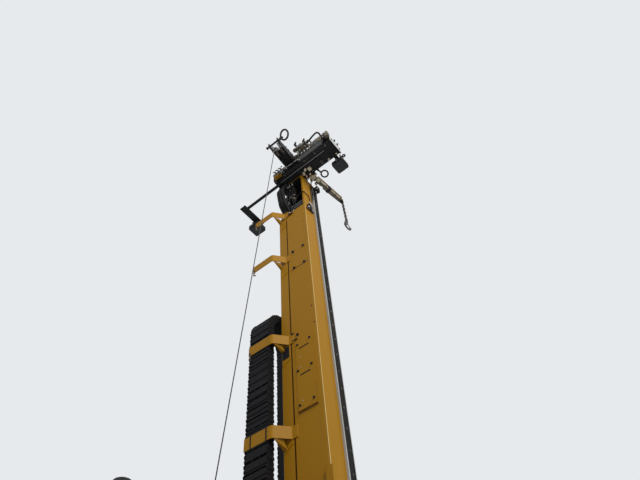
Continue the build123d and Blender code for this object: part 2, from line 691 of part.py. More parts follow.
# Hydraulic tank on the left of the deck and fuel tank on the right
with BuildPart() as hydraulic_tank:
    block(-3620, -2620, 380, 900, deck_top_z, 1600)
    fillet(hydraulic_tank.edges().filter_by(Axis.Z), 60)
    fillet(hydraulic_tank.faces().sort_by(Axis.Z)[-1].edges(), 25)
    with BuildSketch(Plane.XY.offset(1600)):
        with Locations((-2800, 700)):
            Circle(70)
        with Locations((-3350, 700)):
            Circle(95)
    extrude(amount=45)
finish(hydraulic_tank.part, "hydraulic_tank")

with BuildPart() as fuel_tank:
    block(-3760, -2500, -920, -430, deck_top_z, 1090)
    fillet(fuel_tank.edges().filter_by(Axis.X), 50)
    with BuildSketch(Plane.XY.offset(1090)):
        with Locations((-2700, -700)):
            Circle(60)
    extrude(amount=25)
finish(fuel_tank.part, "fuel_tank")

# Valve bank on the middle of the deck, a row of slices with their spool caps
slice_count = 8
slice_pitch = 62
with BuildPart() as valve_bank:
    block(-3500, -2880, -170, 170, deck_top_z, deck_top_z + 60)
    for slice_index in range(slice_count):
        x_slice = -3190 + (slice_index - (slice_count - 1) / 2) * slice_pitch
        block(x_slice - 28, x_slice + 28, -110, 110, deck_top_z + 60, deck_top_z + 230)
        cross_pin(x_slice, deck_top_z + 150, 0, 20, 300)
    block(-3190 - 260, -3190 + 260, -60, 60, deck_top_z + 60, deck_top_z + 120)
finish(valve_bank.part, "valve_bank")

# Post at the left front of the deck for the control console, with a round beacon on top
with BuildPart() as post:
    with BuildSketch(Plane.XY.offset(deck_top_z)):
        with Locations((post_x, post_y)):
            Circle(95)
    extrude(amount=20)
    with BuildSketch(Plane.XY.offset(deck_top_z + 20)):
        with Locations((post_x, post_y)):
            Circle(38)
    extrude(amount=post_top_z - deck_top_z - 20)
    with BuildSketch(Plane.XY.offset(post_top_z)):
        with Locations((post_x, post_y)):
            Circle(75)
    extrude(amount=45)
    with BuildSketch(Plane.XY.offset(post_top_z + 45)):
        with Locations((post_x, post_y)):
            Circle(105)
    extrude(amount=40, taper=35)
    with BuildSketch(Plane.XY.offset(console_low_z - 32)):
        with Locations((post_x, post_y)):
            Circle(60)
    extrude(amount=30)
finish(post.part, "console_post")

# Control console on an arm that swings round the post
sleeve_radius = 58
with BuildPart() as console:
    with BuildSketch(Plane.XY.offset(console_low_z)) as sleeve:
        with Locations((post_x, post_y)):
            Circle(sleeve_radius)
    extrude(sleeve.sketch, amount=console_high_z - console_low_z)
    block(post_x - 30, post_x + 30, post_y + 40, post_y + 330, console_low_z + 40, console_high_z - 60)
    with BuildSketch(Plane.XZ.offset(-(post_y + 300))) as desk:
        with BuildLine():
            Polyline(
                (post_x - 330, console_low_z + 20), (post_x - 330, console_high_z + 30),
                (post_x + 330, console_high_z + 30), (post_x + 330, console_low_z + 20), close=True,
            )
        make_face()
    extrude(desk.sketch, amount=-320, taper=4)
    with BuildSketch(Plane.XY.offset(console_low_z - 1)) as bore:
        with Locations((post_x, post_y)):
            Circle(38 + fit)
    extrude(bore.sketch, amount=console_high_z - console_low_z + 2, mode=Mode.SUBTRACT)
finish(console.part, "control_console")

# Mast foot: a plate under the mast and round the borehole, on a rim that bites the ground
foot_plate = 40
foot_rim_height = 60
foot_front_x = 200
borehole_radius = 140
foot_low_z = mast_foot_z - foot_plate
with BuildPart() as mast_foot:
    with BuildSketch(Plane.XY.offset(foot_low_z)):
        with BuildLine():
            half_foot = Polyline(
                (mast_back_x, 0), (mast_back_x, mast_half), (mast_front_x + 60, mast_half),
                (foot_front_x - 100, 260), (foot_front_x, 160), (foot_front_x, 0),
            )
            mirror(half_foot, about=Plane.XZ)
        make_face()
        Circle(borehole_radius, mode=Mode.SUBTRACT)
    extrude(amount=foot_plate)
    with BuildSketch(Plane.XY.offset(foot_low_z - foot_rim_height)):
        with Locations((mast_back_x + 40, 0), (mast_front_x + 30, 0)):
            Rectangle(30, mast_width - 60)
        with Locations((foot_front_x - 40, 0)):
            Rectangle(30, 300)
        with Locations(((mast_back_x + mast_front_x) / 2 + 35, 170), ((mast_back_x + mast_front_x) / 2 + 35, -170)):
            Rectangle(mast_depth - 40, 25)
    extrude(amount=foot_rim_height)
finish(mast_foot.part, "mast_foot")

# Rod clamps: a holding clamp below and a breakout clamp above, round the drilling axis
clamp_back_x = mast_front_x + 40
clamp_front_x = 190
clamp_half_width = 250
clamp_height = 150
clamp_gap = 40
clamp_cylinder_radius = 62
with BuildPart() as rod_clamps:
    for level in (0, 1):
        z_clamp = mast_foot_z + level * (clamp_height + clamp_gap)
        block(clamp_back_x, clamp_front_x, -clamp_half_width, clamp_half_width, z_clamp, z_clamp + clamp_height)
        cross_pin(0, z_clamp + clamp_height / 2, 0, clamp_cylinder_radius, 2 * clamp_half_width + 300)
    for side in (-1, 1):
        block(clamp_back_x + 20, clamp_back_x + 90, side * 150, side * 230, mast_foot_z + 20,
              mast_foot_z + 2 * clamp_height + clamp_gap - 20)
    block(mast_front_x - 4, clamp_back_x, -160, 160, mast_foot_z, mast_foot_z + 2 * clamp_height + clamp_gap)
    with BuildSketch(Plane.XY.offset(mast_foot_z - 1)) as throat:
        Circle(borehole_radius - 15)
    extrude(throat.sketch, amount=2 * clamp_height + clamp_gap + 2, mode=Mode.SUBTRACT)
    for level in (0, 1):
        z_clamp = mast_foot_z + level * (clamp_height + clamp_gap)
        for side in (-1, 1):
            block(-60, 60, side * 80, side * 140, z_clamp + 25, z_clamp + clamp_height - 25)
finish(rod_clamps.part, "rod_clamps")

# Feed chain in the front channel, with its sprockets at both ends
sprocket_radius = 90
sprocket_low_z, sprocket_high_z = 900, mast_box_top_z - 150
feed_chain_thickness = 24
feed_chain_depth = 34
feed_chain_x = mast_front_x - channel_depth + 3
feed_link_pitch = 152
feed_link_gap = 26
feed_link_notch = 7
with BuildPart() as feed_chain:
    middle_z = (sprocket_low_z + sprocket_high_z) / 2
    outer_y = sprocket_radius + feed_chain_thickness
    link_gap_count = int((sprocket_high_z - sprocket_low_z) / feed_link_pitch)
    with BuildSketch(Plane.YZ.offset(feed_chain_x + 8)) as chain_face:
        with Locations((0, middle_z)):
            SlotCenterToCenter(sprocket_high_z - sprocket_low_z, 2 * outer_y, 90)
            SlotCenterToCenter(sprocket_high_z - sprocket_low_z, 2 * sprocket_radius, 90, mode=Mode.SUBTRACT)
            with GridLocations(2 * outer_y, feed_link_pitch, 2, link_gap_count):
                Rectangle(2 * feed_link_notch, feed_link_gap, mode=Mode.SUBTRACT)
    extrude(amount=feed_chain_depth)
    for z_sprocket in (sprocket_low_z, sprocket_high_z):
        with BuildSketch(Plane.YZ.offset(feed_chain_x + 14)) as sprocket_face:
            with Locations((0, z_sprocket)):
                Circle(sprocket_radius - seat)
        extrude(sprocket_face.sketch, amount=22)
        with BuildSketch(Plane.YZ.offset(mast_front_x - channel_depth)) as hub_face:
            with Locations((0, z_sprocket)):
                Circle(32)
        extrude(hub_face.sketch, amount=52)
finish(feed_chain.part, "feed_chain")

# Four bent-bar brackets up the left of the mast, the lower two holding the energy chain
bracket_height = 140
bracket_bar = 10
bracket_x = chain_rear_x - seat - bracket_bar / 2
bracket_bend_y = 280
bracket_end_y = 650
bracket_bend_radius = 50
with BuildPart() as chain_brackets:
    for z_bracket in bracket_table:
        with BuildSketch(Plane.XY.offset(z_bracket - bracket_height / 2)) as bar_section:
            with BuildLine() as bar_line:
                FilletPolyline(
                    (mast_back_x - bracket_bar / 2, seam_y - 40), (mast_back_x - bracket_bar / 2, seam_y + 30),
                    (bracket_x, bracket_bend_y), (bracket_x, bracket_end_y), radius=(20, bracket_bend_radius),
                )
                offset(amount=bracket_bar / 2, side=Side.BOTH)
            make_face()
        extrude(bar_section.sketch, amount=bracket_height)
finish(chain_brackets.part, "chain_brackets")

# Energy chain: a fixed strand, a bend over the top and a strand that runs down to the head
chain_bend_x = chain_rear_x + chain_bend_radius
chain_bend_z = chain_top_z - chain_bend_radius
notch_depth = 16
notch_width = 20
with BuildPart() as energy_chain:
    with BuildSketch(Plane.XZ.offset(-(chain_y + chain_width / 2))) as chain_side:
        with Locations((chain_bend_x, chain_bend_z)):
            Circle(chain_bend_radius)
        with Locations((chain_bend_x, (chain_bend_z + chain_moving_end_z) / 2)):
            Rectangle(2 * chain_bend_radius, chain_bend_z - chain_moving_end_z)
        inner_radius = chain_bend_radius - chain_thickness
        with Locations((chain_bend_x, chain_bend_z)):
            Circle(inner_radius, mode=Mode.SUBTRACT)
        with Locations((chain_bend_x, (chain_bend_z + chain_moving_end_z) / 2 - 1)):
            Rectangle(2 * inner_radius, chain_bend_z - chain_moving_end_z + 2, mode=Mode.SUBTRACT)
        with Locations((chain_rear_x + chain_thickness / 2, (chain_moving_end_z + chain_fixed_end_z) / 2 - 1)):
            Rectangle(chain_thickness + 2, chain_fixed_end_z - chain_moving_end_z + 2, mode=Mode.SUBTRACT)
        notch_count = int((chain_bend_z - chain_fixed_end_z) / chain_pitch)
        for notch in range(notch_count):
            z_notch = chain_bend_z - notch * chain_pitch - chain_pitch / 2
            with Locations((chain_rear_x, z_notch), (chain_rear_x + 2 * chain_bend_radius, z_notch)):
                Rectangle(2 * notch_depth, notch_width, mode=Mode.SUBTRACT)
        with Locations((chain_bend_x, chain_bend_z)):
            with PolarLocations(chain_bend_radius, 4, 22.5, 180):
                Rectangle(2 * notch_depth, notch_width, mode=Mode.SUBTRACT)
    extrude(amount=chain_width)
finish(energy_chain.part, "energy_chain")

# Mast head: the mast's right side and front run on up to the crown, its back and left stay open
head_plate = 12
head_back_x = mast_back_x
head_waist_x = mast_back_x + back_box_depth
head_front_x = mast_front_x - channel_depth
head_top_plate = 16
head_post = 30  # width of the corner post at the back
head_screen_top_z = mast_box_top_z + 260  # a set-back plate closes the lower back of the head
head_screen_x = head_back_x + 45
head_screen_left_y = 40
with BuildPart() as mast_head:
    block(head_back_x, head_front_x, -front_half, front_half, mast_box_top_z, mast_box_top_z + head_plate)
    block(head_back_x, head_waist_x, -mast_half, -mast_half + head_plate, mast_box_top_z, crown_z)
    block(head_waist_x - head_plate, head_waist_x, -mast_half, -front_half + head_plate, mast_box_top_z, crown_z)
    block(head_waist_x - head_plate, head_front_x, -front_half, -front_half + head_plate, mast_box_top_z, crown_z)
    block(head_front_x - head_plate, head_front_x, -front_half, front_half, mast_box_top_z, crown_z)
    block(head_waist_x, head_front_x, front_half - head_plate, front_half, mast_box_top_z, crown_z)
    block(head_back_x, head_back_x + head_plate, -mast_half, -mast_half + head_post, mast_box_top_z, crown_z)
    block(head_screen_x, head_screen_x + head_plate, -mast_half, head_screen_left_y, mast_box_top_z,
          head_screen_top_z)
    block(head_back_x, head_front_x, -mast_half, front_half, crown_z - head_top_plate, crown_z)
finish(mast_head.part, "mast_head")

# Crown: a cross beam of two boxes with a slot between them and a bright plate on its right end
crown_back_x = mast_back_x - crown_rear_reach
crown_front_x = crown_back_x + crown_depth
crown_top_z = crown_z + crown_height
crown_slot = 16
crown_slot_x = crown_back_x + 118
crown_slot_right_y, crown_slot_left_y = crown_right_y + 196, crown_left_y - 62
crown_web = 30
end_plate = 14
end_plate_lip = 12
with BuildPart() as crown_beam:
    block(crown_back_x, crown_front_x, crown_right_y, crown_left_y, crown_z, crown_top_z)
    chamfer(crown_beam.edges().filter_by(Axis.Y).group_by(Axis.X)[0].group_by(Axis.Z)[0], 35)
    block(crown_slot_x - crown_slot / 2, crown_slot_x + crown_slot / 2, crown_slot_right_y, crown_slot_left_y,
          crown_z - 1, crown_top_z - crown_web, mode=Mode.SUBTRACT)
    block(crown_back_x - end_plate_lip, crown_front_x + end_plate_lip, crown_right_y - end_plate, crown_right_y,
          crown_z - end_plate_lip, crown_top_z + end_plate_lip)
finish(crown_beam.part, "crown_beam")

# Valve manifolds along the crown's rear and top, with the screwed ends of their hoses
manifold_depth = 58
manifold_height = 84
fitting_radius = 15
fitting_length = 46
fitting_pitch = 62
# Columns: right end and left end along Y
manifold_table = ((crown_right_y + 150, arm_sheave_y - 200), (arm_sheave_y + 90, crown_left_y - 40))
with BuildPart() as crown_valves:
    for right_y, left_y in manifold_table:
        block(crown_back_x - manifold_depth, crown_back_x, right_y, left_y, crown_top_z - manifold_height, crown_top_z)
        block(crown_back_x + 20, crown_back_x + 20 + manifold_depth, right_y + 30, left_y - 30, crown_top_z,
              crown_top_z + manifold_height / 2)
        middle_y = (right_y + left_y) / 2
        fitting_count = int((left_y - right_y - fitting_length) / fitting_pitch)
        with BuildSketch(Plane.XY.offset(crown_top_z)) as upright_fittings:
            with Locations((crown_back_x - manifold_depth / 2, middle_y)):
                with GridLocations(0, fitting_pitch, 1, fitting_count):
                    RegularPolygon(fitting_radius, 6)
        extrude(upright_fittings.sketch, amount=fitting_length)
        with BuildSketch(Plane.YZ.offset(crown_back_x - manifold_depth)) as rear_fittings:
            with Locations((middle_y, crown_top_z - manifold_height / 2)):
                with GridLocations(fitting_pitch, 0, fitting_count, 1):
                    RegularPolygon(fitting_radius, 6)
        extrude(rear_fittings.sketch, amount=-fitting_length)
finish(crown_valves.part, "crown_valves")


# Sheave arm: two plates that reach back from the crown and hold two sheaves and a cross bar
arm_thickness = 16
arm_gap = 178
sheave_pin_radius = 22
arm_mid_y = arm_sheave_y - 48
arm_plate_y = arm_gap / 2 + arm_thickness / 2
arm_tip_x = arm_sheave_x - 225
arm_half_height = 58
cross_bar_radius = 17
cross_bar_overhang = 60
with BuildPart() as sheave_arm:
    for side in (-1, 1):
        side_plate(
            (
                (arm_tip_x, arm_sheave_z - arm_half_height), (arm_tip_x, arm_sheave_z + arm_half_height),
                (crown_back_x + 90, arm_sheave_z + arm_half_height), (crown_back_x + 130, crown_top_z),
                (crown_back_x, crown_top_z), (crown_back_x, crown_z + 60),
                (crown_back_x - 40, crown_z + 60),
            ),
            arm_mid_y + side * arm_plate_y, arm_thickness,
        )
    cross_pin(arm_sheave_x, arm_sheave_z, arm_mid_y, sheave_pin_radius, arm_gap + 3 * arm_thickness)
    cross_pin(arm_tip_x + 2 * cross_bar_radius, arm_sheave_z, arm_mid_y, cross_bar_radius,
              arm_gap + 2 * arm_thickness + 2 * cross_bar_overhang)
    block(crown_back_x - 40, crown_back_x, arm_mid_y - arm_gap / 2, arm_mid_y + arm_gap / 2, crown_top_z - 60,
          crown_top_z)
finish(sheave_arm.part, "sheave_arm")

# Sheaves: two grooved wheels in the arm and one on the crown's front in its own cheeks
crown_sheave_x = crown_front_x + 110
sheave_groove_depth = 6
groove_half = rope_radius + 3
idle_sheave_y = 2 * arm_mid_y - arm_sheave_y
# Columns: X and Y of each wheel
sheave_table = (
    (arm_sheave_x, arm_sheave_y), (arm_sheave_x, idle_sheave_y), (crown_sheave_x, arm_sheave_y),
)
with BuildPart() as sheaves:
    for x_sheave, y_sheave in sheave_table:
        cross_pin(x_sheave, arm_sheave_z, y_sheave, sheave_radius - sheave_groove_depth, sheave_width)
        for side in (-1, 1):
            cross_pin(x_sheave, arm_sheave_z, y_sheave + side * (sheave_width / 2 + groove_half) / 2, sheave_radius,
                      sheave_width / 2 - groove_half)
        cross_pin(x_sheave, arm_sheave_z, y_sheave, sheave_pin_radius + seat, 2 * sheave_width, mode=Mode.SUBTRACT)
finish(sheaves.part, "sheaves")

cheek_gap = 60
cheek_plate_y = cheek_gap / 2 + arm_thickness / 2
with BuildPart() as sheave_cheeks:
    for side in (-1, 1):
        side_plate(
            (
                (crown_front_x, crown_z + 20), (crown_sheave_x + 10, arm_sheave_z - 50),
                (crown_sheave_x + 45, arm_sheave_z), (crown_sheave_x + 10, arm_sheave_z + 45),
                (crown_sheave_x - 50, arm_sheave_z + 30), (crown_front_x, crown_top_z),
            ),
            arm_sheave_y + side * cheek_plate_y, arm_thickness,
        )
    cross_pin(crown_sheave_x, arm_sheave_z, arm_sheave_y, sheave_pin_radius, cheek_gap + 3 * arm_thickness)
finish(sheave_cheeks.part, "sheave_cheeks")

# Hoist rope: taut from the drum over the arm's sheave and the crown's, to its parked end on the head
rope_gauge = sheave_radius - sheave_groove_depth + rope_radius + seat
rope_start = Vector(winch_x - drum_radius - rope_radius - seat, rope_drum_y, winch_z)
rope_top = Vector(arm_sheave_x - rope_gauge, arm_sheave_y, arm_sheave_z)
rope_tail_x = crown_sheave_x + rope_gauge
socket_half = 14
socket_top_z = crown_z + 35
sheave_places = ((arm_sheave_x, arm_sheave_z), (crown_sheave_x, arm_sheave_z))
sheave_span = crown_sheave_x - arm_sheave_x
sheave_middle_x = (arm_sheave_x + crown_sheave_x) / 2
with BuildPart() as hoist_rope:
    with BuildSketch(Plane(origin=rope_start, z_dir=rope_top - rope_start)) as strand:
        Circle(rope_radius)
    extrude(strand.sketch, amount=(rope_top - rope_start).length)
    with BuildSketch(Plane.XZ.offset(-(arm_sheave_y + rope_radius))) as bend:
        with Locations(*sheave_places):
            Circle(rope_gauge + rope_radius)
        make_hull()
        with Locations(*sheave_places):
            Circle(rope_gauge - rope_radius, mode=Mode.SUBTRACT)
        with Locations((sheave_middle_x, arm_sheave_z - rope_radius)):
            Rectangle(sheave_span, 2 * rope_gauge, mode=Mode.SUBTRACT)
        with Locations((sheave_middle_x, arm_sheave_z - rope_gauge)):
            Rectangle(sheave_span + 3 * rope_gauge, 2 * rope_gauge, mode=Mode.SUBTRACT)
    extrude(bend.sketch, amount=2 * rope_radius)
    with BuildSketch(Plane.XY.offset(socket_top_z)) as tail:
        with Locations((rope_tail_x, arm_sheave_y)):
            Circle(rope_radius)
    extrude(tail.sketch, amount=arm_sheave_z - socket_top_z)
    block(rope_tail_x - socket_half, rope_tail_x + socket_half, arm_sheave_y - socket_half,
          arm_sheave_y + socket_half, crown_z, socket_top_z)
finish(hoist_rope.part, "hoist_rope")

# Winch frame on the mast's left side, reaching back past the cradle, with its motor
frame_plate = 20
winch_inner_y = claw_inner_y + claw_thickness + 25
winch_outer_y = winch_inner_y + frame_plate + drum_length + 40
frame_root_x = mast_back_x + 110
with BuildPart() as winch_frame:
    for y_plate in (winch_inner_y, winch_outer_y):
        with BuildSketch(Plane.XZ.offset(-y_plate)) as side_face:
            with Locations((winch_x, winch_z)):
                Circle(150)
            with Locations((frame_root_x, winch_z + 40), (frame_root_x, winch_z - 60)):
                Circle(65)
            make_hull()
        extrude(side_face.sketch, amount=-frame_plate)
    block(claw_front_x + claw_thickness + running_gap, frame_root_x + 50, mast_half, winch_outer_y + 5,
          winch_z - 100, winch_z + 80)
    cross_pin(winch_x, winch_z, winch_outer_y + frame_plate + 60, 85, 120)
    cross_pin(winch_x, winch_z, (winch_inner_y + winch_outer_y + frame_plate) / 2, 30,
              winch_outer_y - winch_inner_y)
finish(winch_frame.part, "winch_frame")

# Winch drum on its shaft, with end flanges and the wound rope as its barrel
with BuildPart() as winch_drum:
    drum_low_y = winch_inner_y + frame_plate + 20
    cross_pin(winch_x, winch_z, drum_low_y + drum_length / 2, drum_radius, drum_length)
    for y_flange in (drum_low_y - 8, drum_low_y + drum_length + 8):
        cross_pin(winch_x, winch_z, y_flange, drum_radius + 28, 16)
    cross_pin(winch_x, winch_z, drum_low_y + drum_length / 2, 30 + fit, drum_length + 60, mode=Mode.SUBTRACT)
finish(winch_drum.part, "winch_drum")

# Working lamps: one hangs in front of the crown's right end, one sits out on a rod to the left
lamp_depth = 80
lamp_corner = 28
right_lamp_size = 230
right_lamp_x, right_lamp_y, right_lamp_z = -534, -971, crown_z - 160
lamp_bar = 14
lamp_rod_radius = 28
lamp_rod_x, lamp_rod_z = crown_back_x + 100, crown_z - lamp_rod_radius
lamp_rod_end_y = 1060
left_lamp_size = 240
left_lamp_front_x = -355
left_lamp_y, left_lamp_z = 1070, crown_z - 150


def lamp_case(x, y, z, size):
    """Put a square lamp case with rounded corners, its glass facing down."""
    with BuildSketch(Plane.XY.offset(z - lamp_depth / 2)) as case_face:
        with Locations((x, y)):
            RectangleRounded(size, size, lamp_corner)
    extrude(case_face.sketch, amount=lamp_depth)


with BuildPart() as mast_lamps:
    lamp_case(right_lamp_x, right_lamp_y, right_lamp_z, right_lamp_size)
    block(crown_front_x, right_lamp_x + lamp_bar, right_lamp_y - 35, right_lamp_y + 35, crown_z + 10,
          crown_z + 10 + lamp_bar)
    block(right_lamp_x - lamp_bar, right_lamp_x + lamp_bar, right_lamp_y - 35, right_lamp_y + 35,
          right_lamp_z + lamp_depth / 2, crown_z + 10)
    lamp_case(left_lamp_front_x - left_lamp_size / 2, left_lamp_y, left_lamp_z, left_lamp_size)
    cross_pin(lamp_rod_x, lamp_rod_z, (crown_left_y - 80 + lamp_rod_end_y) / 2, lamp_rod_radius,
              lamp_rod_end_y - crown_left_y + 80)
    block(lamp_rod_x - 40, lamp_rod_x + 40, crown_left_y - 75, crown_left_y - 15, lamp_rod_z, crown_z)
    block(lamp_rod_x - 100, left_lamp_front_x - left_lamp_size / 2 + 40, lamp_rod_end_y - 130, lamp_rod_end_y,
          lamp_rod_z - lamp_rod_radius - lamp_bar, lamp_rod_z - lamp_rod_radius + 2)
    block(left_lamp_front_x - left_lamp_size / 2 - 40, left_lamp_front_x - left_lamp_size / 2 + 40,
          lamp_rod_end_y - 60, lamp_rod_end_y - 60 + lamp_bar, left_lamp_z + lamp_depth / 2,
          lamp_rod_z - lamp_rod_radius)
finish(mast_lamps.part, "mast_lamps")

# Hoses that bow out from the crown's underside and turn in to the floor of the open mast head
hose_radius = 26
hose_end_run = 70
hose_top_x, hose_bow_x, hose_turn_x, hose_foot_x = -800, -880, -820, -690
hose_floor_z = mast_box_top_z + head_plate
hose_drop = crown_z - hose_floor_z
# Columns: Y and bulge of each hose
hose_table = ((80, 14), (137, 7), (194, 0))
with BuildPart() as hose_bundle:
    for hose_y, bulge in hose_table:
        with BuildLine() as hose_line:
            FilletPolyline(
                (hose_top_x, hose_y, crown_z),
                (hose_top_x, hose_y, crown_z - hose_end_run),
                (hose_bow_x - bulge, hose_y, crown_z - hose_drop * 0.33),
                (hose_turn_x - bulge, hose_y, crown_z - hose_drop * 0.7),
                (hose_foot_x, hose_y, hose_floor_z + 2 * hose_end_run),
                (hose_foot_x, hose_y, hose_floor_z),
                radius=(90, 200, 200, 90),
            )
        with BuildSketch(Plane(origin=hose_line.line @ 0, z_dir=hose_line.line % 0)) as hose_end:
            Circle(hose_radius)
        sweep(hose_end.sketch, path=hose_line.line)
finish(hose_bundle.part, "hose_bundle")

# Jib on the crown's front: lugs on the crown, then an arm that swings and carries a chain
jib_root_x, jib_root_y, jib_root_z = crown_front_x + 125, -400, crown_z + crown_height / 2
jib_length = 800
jib_yaw = -6
jib_pin_radius = 20
jib_eye_radius = 42
jib_eye_height = 100
jib_half_thickness = 22
jib_lug = 16
jib_lug_gap = 2
jib_tip_half = 30
jib_tip_plate = 12
tip_hole_radius, tip_hole_drop = 11, 5
jib_lug_low_z = jib_root_z - jib_eye_height / 2 - jib_lug_gap - jib_lug
with BuildPart() as jib_bracket:
    for z_lug in (jib_lug_low_z, jib_root_z + jib_eye_height / 2 + jib_lug_gap):
        with BuildSketch(Plane.XY.offset(z_lug)) as lug_face:
            with Locations((jib_root_x, jib_root_y)):
                Circle(jib_eye_radius)
            with Locations((crown_front_x + 15, jib_root_y)):
                Rectangle(30, 150)
            make_hull()
        extrude(lug_face.sketch, amount=jib_lug)
    block(crown_front_x, crown_front_x + 14, jib_root_y - 95, jib_root_y + 95, crown_z, crown_top_z)
    with BuildSketch(Plane.XY.offset(jib_lug_low_z)) as jib_pin:
        with Locations((jib_root_x, jib_root_y)):
            Circle(jib_pin_radius)
    extrude(jib_pin.sketch, amount=jib_eye_height + 2 * (jib_lug_gap + jib_lug) + 14)
finish(jib_bracket.part, "jib_bracket")

jib_plane = Plane(origin=(jib_root_x, jib_root_y, jib_root_z), x_dir=(cos(radians(jib_yaw)), sin(radians(jib_yaw)), 0),
                  z_dir=(0, 0, 1))
with BuildPart() as jib_arm:
    with BuildSketch(jib_plane.offset(-jib_eye_height / 2)) as eye:
        Circle(jib_eye_radius)
    extrude(eye.sketch, amount=jib_eye_height)
    side_of_jib = Plane(origin=jib_plane.origin, x_dir=jib_plane.x_dir, z_dir=-jib_plane.y_dir)
    jib_half = jib_eye_height / 2
    jib_box_end = jib_length - 95
    with BuildSketch(side_of_jib) as jib_side:
        with BuildLine():
            Polyline(
                (20, -jib_half), (20, jib_half), (jib_length * 0.4, jib_half), (jib_box_end, jib_tip_half),
                (jib_box_end, -jib_tip_half), (jib_length * 0.25, -jib_half), close=True,
            )
        make_face()
    extrude(jib_side.sketch, amount=jib_half_thickness, both=True)
    with BuildSketch(side_of_jib) as jib_tip:
        with Locations((jib_box_end - 10, 0), (jib_length - 25, -tip_hole_drop)):
            Circle(26)
        make_hull()
        with Locations((jib_length - 25, -tip_hole_drop)):
            Circle(tip_hole_radius, mode=Mode.SUBTRACT)
    extrude(jib_tip.sketch, amount=jib_tip_plate / 2, both=True)
    with BuildSketch(jib_plane.offset(-jib_eye_height / 2 - 1)) as jib_bore:
        Circle(jib_pin_radius + fit)
    extrude(jib_bore.sketch, amount=jib_eye_height + 2, mode=Mode.SUBTRACT)
finish(jib_arm.part, "jib_arm")

# Chain that hangs from the jib's tip, with a load hook on its last link
link_length, link_width, link_bar = 90, 50, 13
link_count = 11  # odd, so that the hook hangs in the jib's plane
hook_thickness = 20
hook_bowl_radius, hook_throat_radius = 90, 50
hook_eye_radius, hook_eye_bore = 36, 19
hook_shank = 165  # middle of the eye to the middle of the bowl
hook_x, hook_y, _ = tuple(jib_plane.origin + jib_plane.x_dir * (jib_length - 25))
link_inner_radius = link_width / 2 - link_bar


def arc_rise(radius, reach):
    """Return how far a round end of a radius has risen at a reach beside its lowest point."""
    return radius - (radius**2 - reach**2) ** 0.5


with BuildPart() as jib_hook:
    pitch = link_length - 2 * link_bar - 2 * arc_rise(link_inner_radius, link_bar / 2) - seat
    top_z = (jib_root_z - tip_hole_drop - tip_hole_radius + arc_rise(tip_hole_radius, link_bar / 2)
             + arc_rise(link_inner_radius, jib_tip_plate / 2) + seat)
    last_bar_z = top_z + 2 * link_bar - link_length - (link_count - 1) * pitch
    hook_eye_z = (last_bar_z + arc_rise(link_inner_radius, hook_thickness / 2) + seat
                  - hook_eye_bore + arc_rise(hook_eye_bore, link_bar / 2))
    hook_plane = Plane(origin=(hook_x, hook_y, hook_eye_z), x_dir=jib_plane.x_dir, z_dir=-jib_plane.y_dir)
    with BuildSketch(hook_plane) as hook_face:
        with Locations((-hook_bowl_radius * 0.6, -hook_shank + hook_bowl_radius * 0.5)):
            Circle(hook_eye_radius * 0.7)
        with Locations((0, 0)):
            Circle(hook_eye_radius)
        make_hull()
        with Locations((0, -hook_shank)):
            Circle(hook_bowl_radius)
            Circle(hook_throat_radius, mode=Mode.SUBTRACT)
        with Locations((0, 0)):
            Circle(hook_eye_bore, mode=Mode.SUBTRACT)
        with BuildLine():
            Polyline(
                (0, -hook_shank), (hook_bowl_radius * 1.3, -hook_shank + 22),
                (hook_bowl_radius, -hook_shank + 2 * hook_bowl_radius), (8, -hook_eye_radius - 12), close=True,
            )
        make_face(mode=Mode.SUBTRACT)
    extrude(hook_face.sketch, amount=hook_thickness / 2, both=True)
    for link in range(link_count):
        z_link = top_z + link_bar - link_length / 2 - link * pitch
        link_plane = (
            Plane(origin=(hook_x, hook_y, z_link), x_dir=jib_plane.x_dir, z_dir=jib_plane.y_dir)
            if link % 2
            else Plane(origin=(hook_x, hook_y, z_link), x_dir=jib_plane.y_dir, z_dir=jib_plane.x_dir)
        )
        with BuildSketch(link_plane) as link_face:
            SlotOverall(link_length, link_width, rotation=90)
            SlotOverall(link_length - 2 * link_bar, link_width - 2 * link_bar, rotation=90, mode=Mode.SUBTRACT)
        extrude(link_face.sketch, amount=link_bar / 2, both=True)
finish(jib_hook.part, "jib_hook")

# Feed carriage: a plate before the mast with cheeks and claws round the guide rails
carriage_back_x = rail_front_x + 12
carriage_front_x = carriage_back_x + carriage_plate
cheek_inner_y = mast_half + running_gap
carriage_high_z = carriage_low_z + carriage_height
pad_length = 160
with BuildPart() as feed_carriage:
    block(carriage_back_x, carriage_front_x, -(cheek_inner_y + cheek_thickness), cheek_inner_y + cheek_thickness,
          carriage_low_z, carriage_high_z)
    for side in (-1, 1):
        block(waist_front_x - 40, carriage_front_x, side * cheek_inner_y, side * (cheek_inner_y + cheek_thickness),
              carriage_low_z, carriage_high_z)
        block(waist_front_x - 40, waist_front_x - running_gap, side * (waist_half + running_gap),
              side * cheek_inner_y, carriage_low_z, carriage_high_z)
        for z_pad in (carriage_low_z, carriage_high_z - pad_length):
            block(waist_front_x, rail_front_x, side * (mast_half + seat), side * cheek_inner_y, z_pad,
                  z_pad + pad_length)
            block(carriage_back_x, rail_front_x + seat, side * (mast_half - rail_thickness + 4), side * cheek_inner_y,
                  z_pad, z_pad + pad_length)
finish(feed_carriage.part, "feed_carriage")

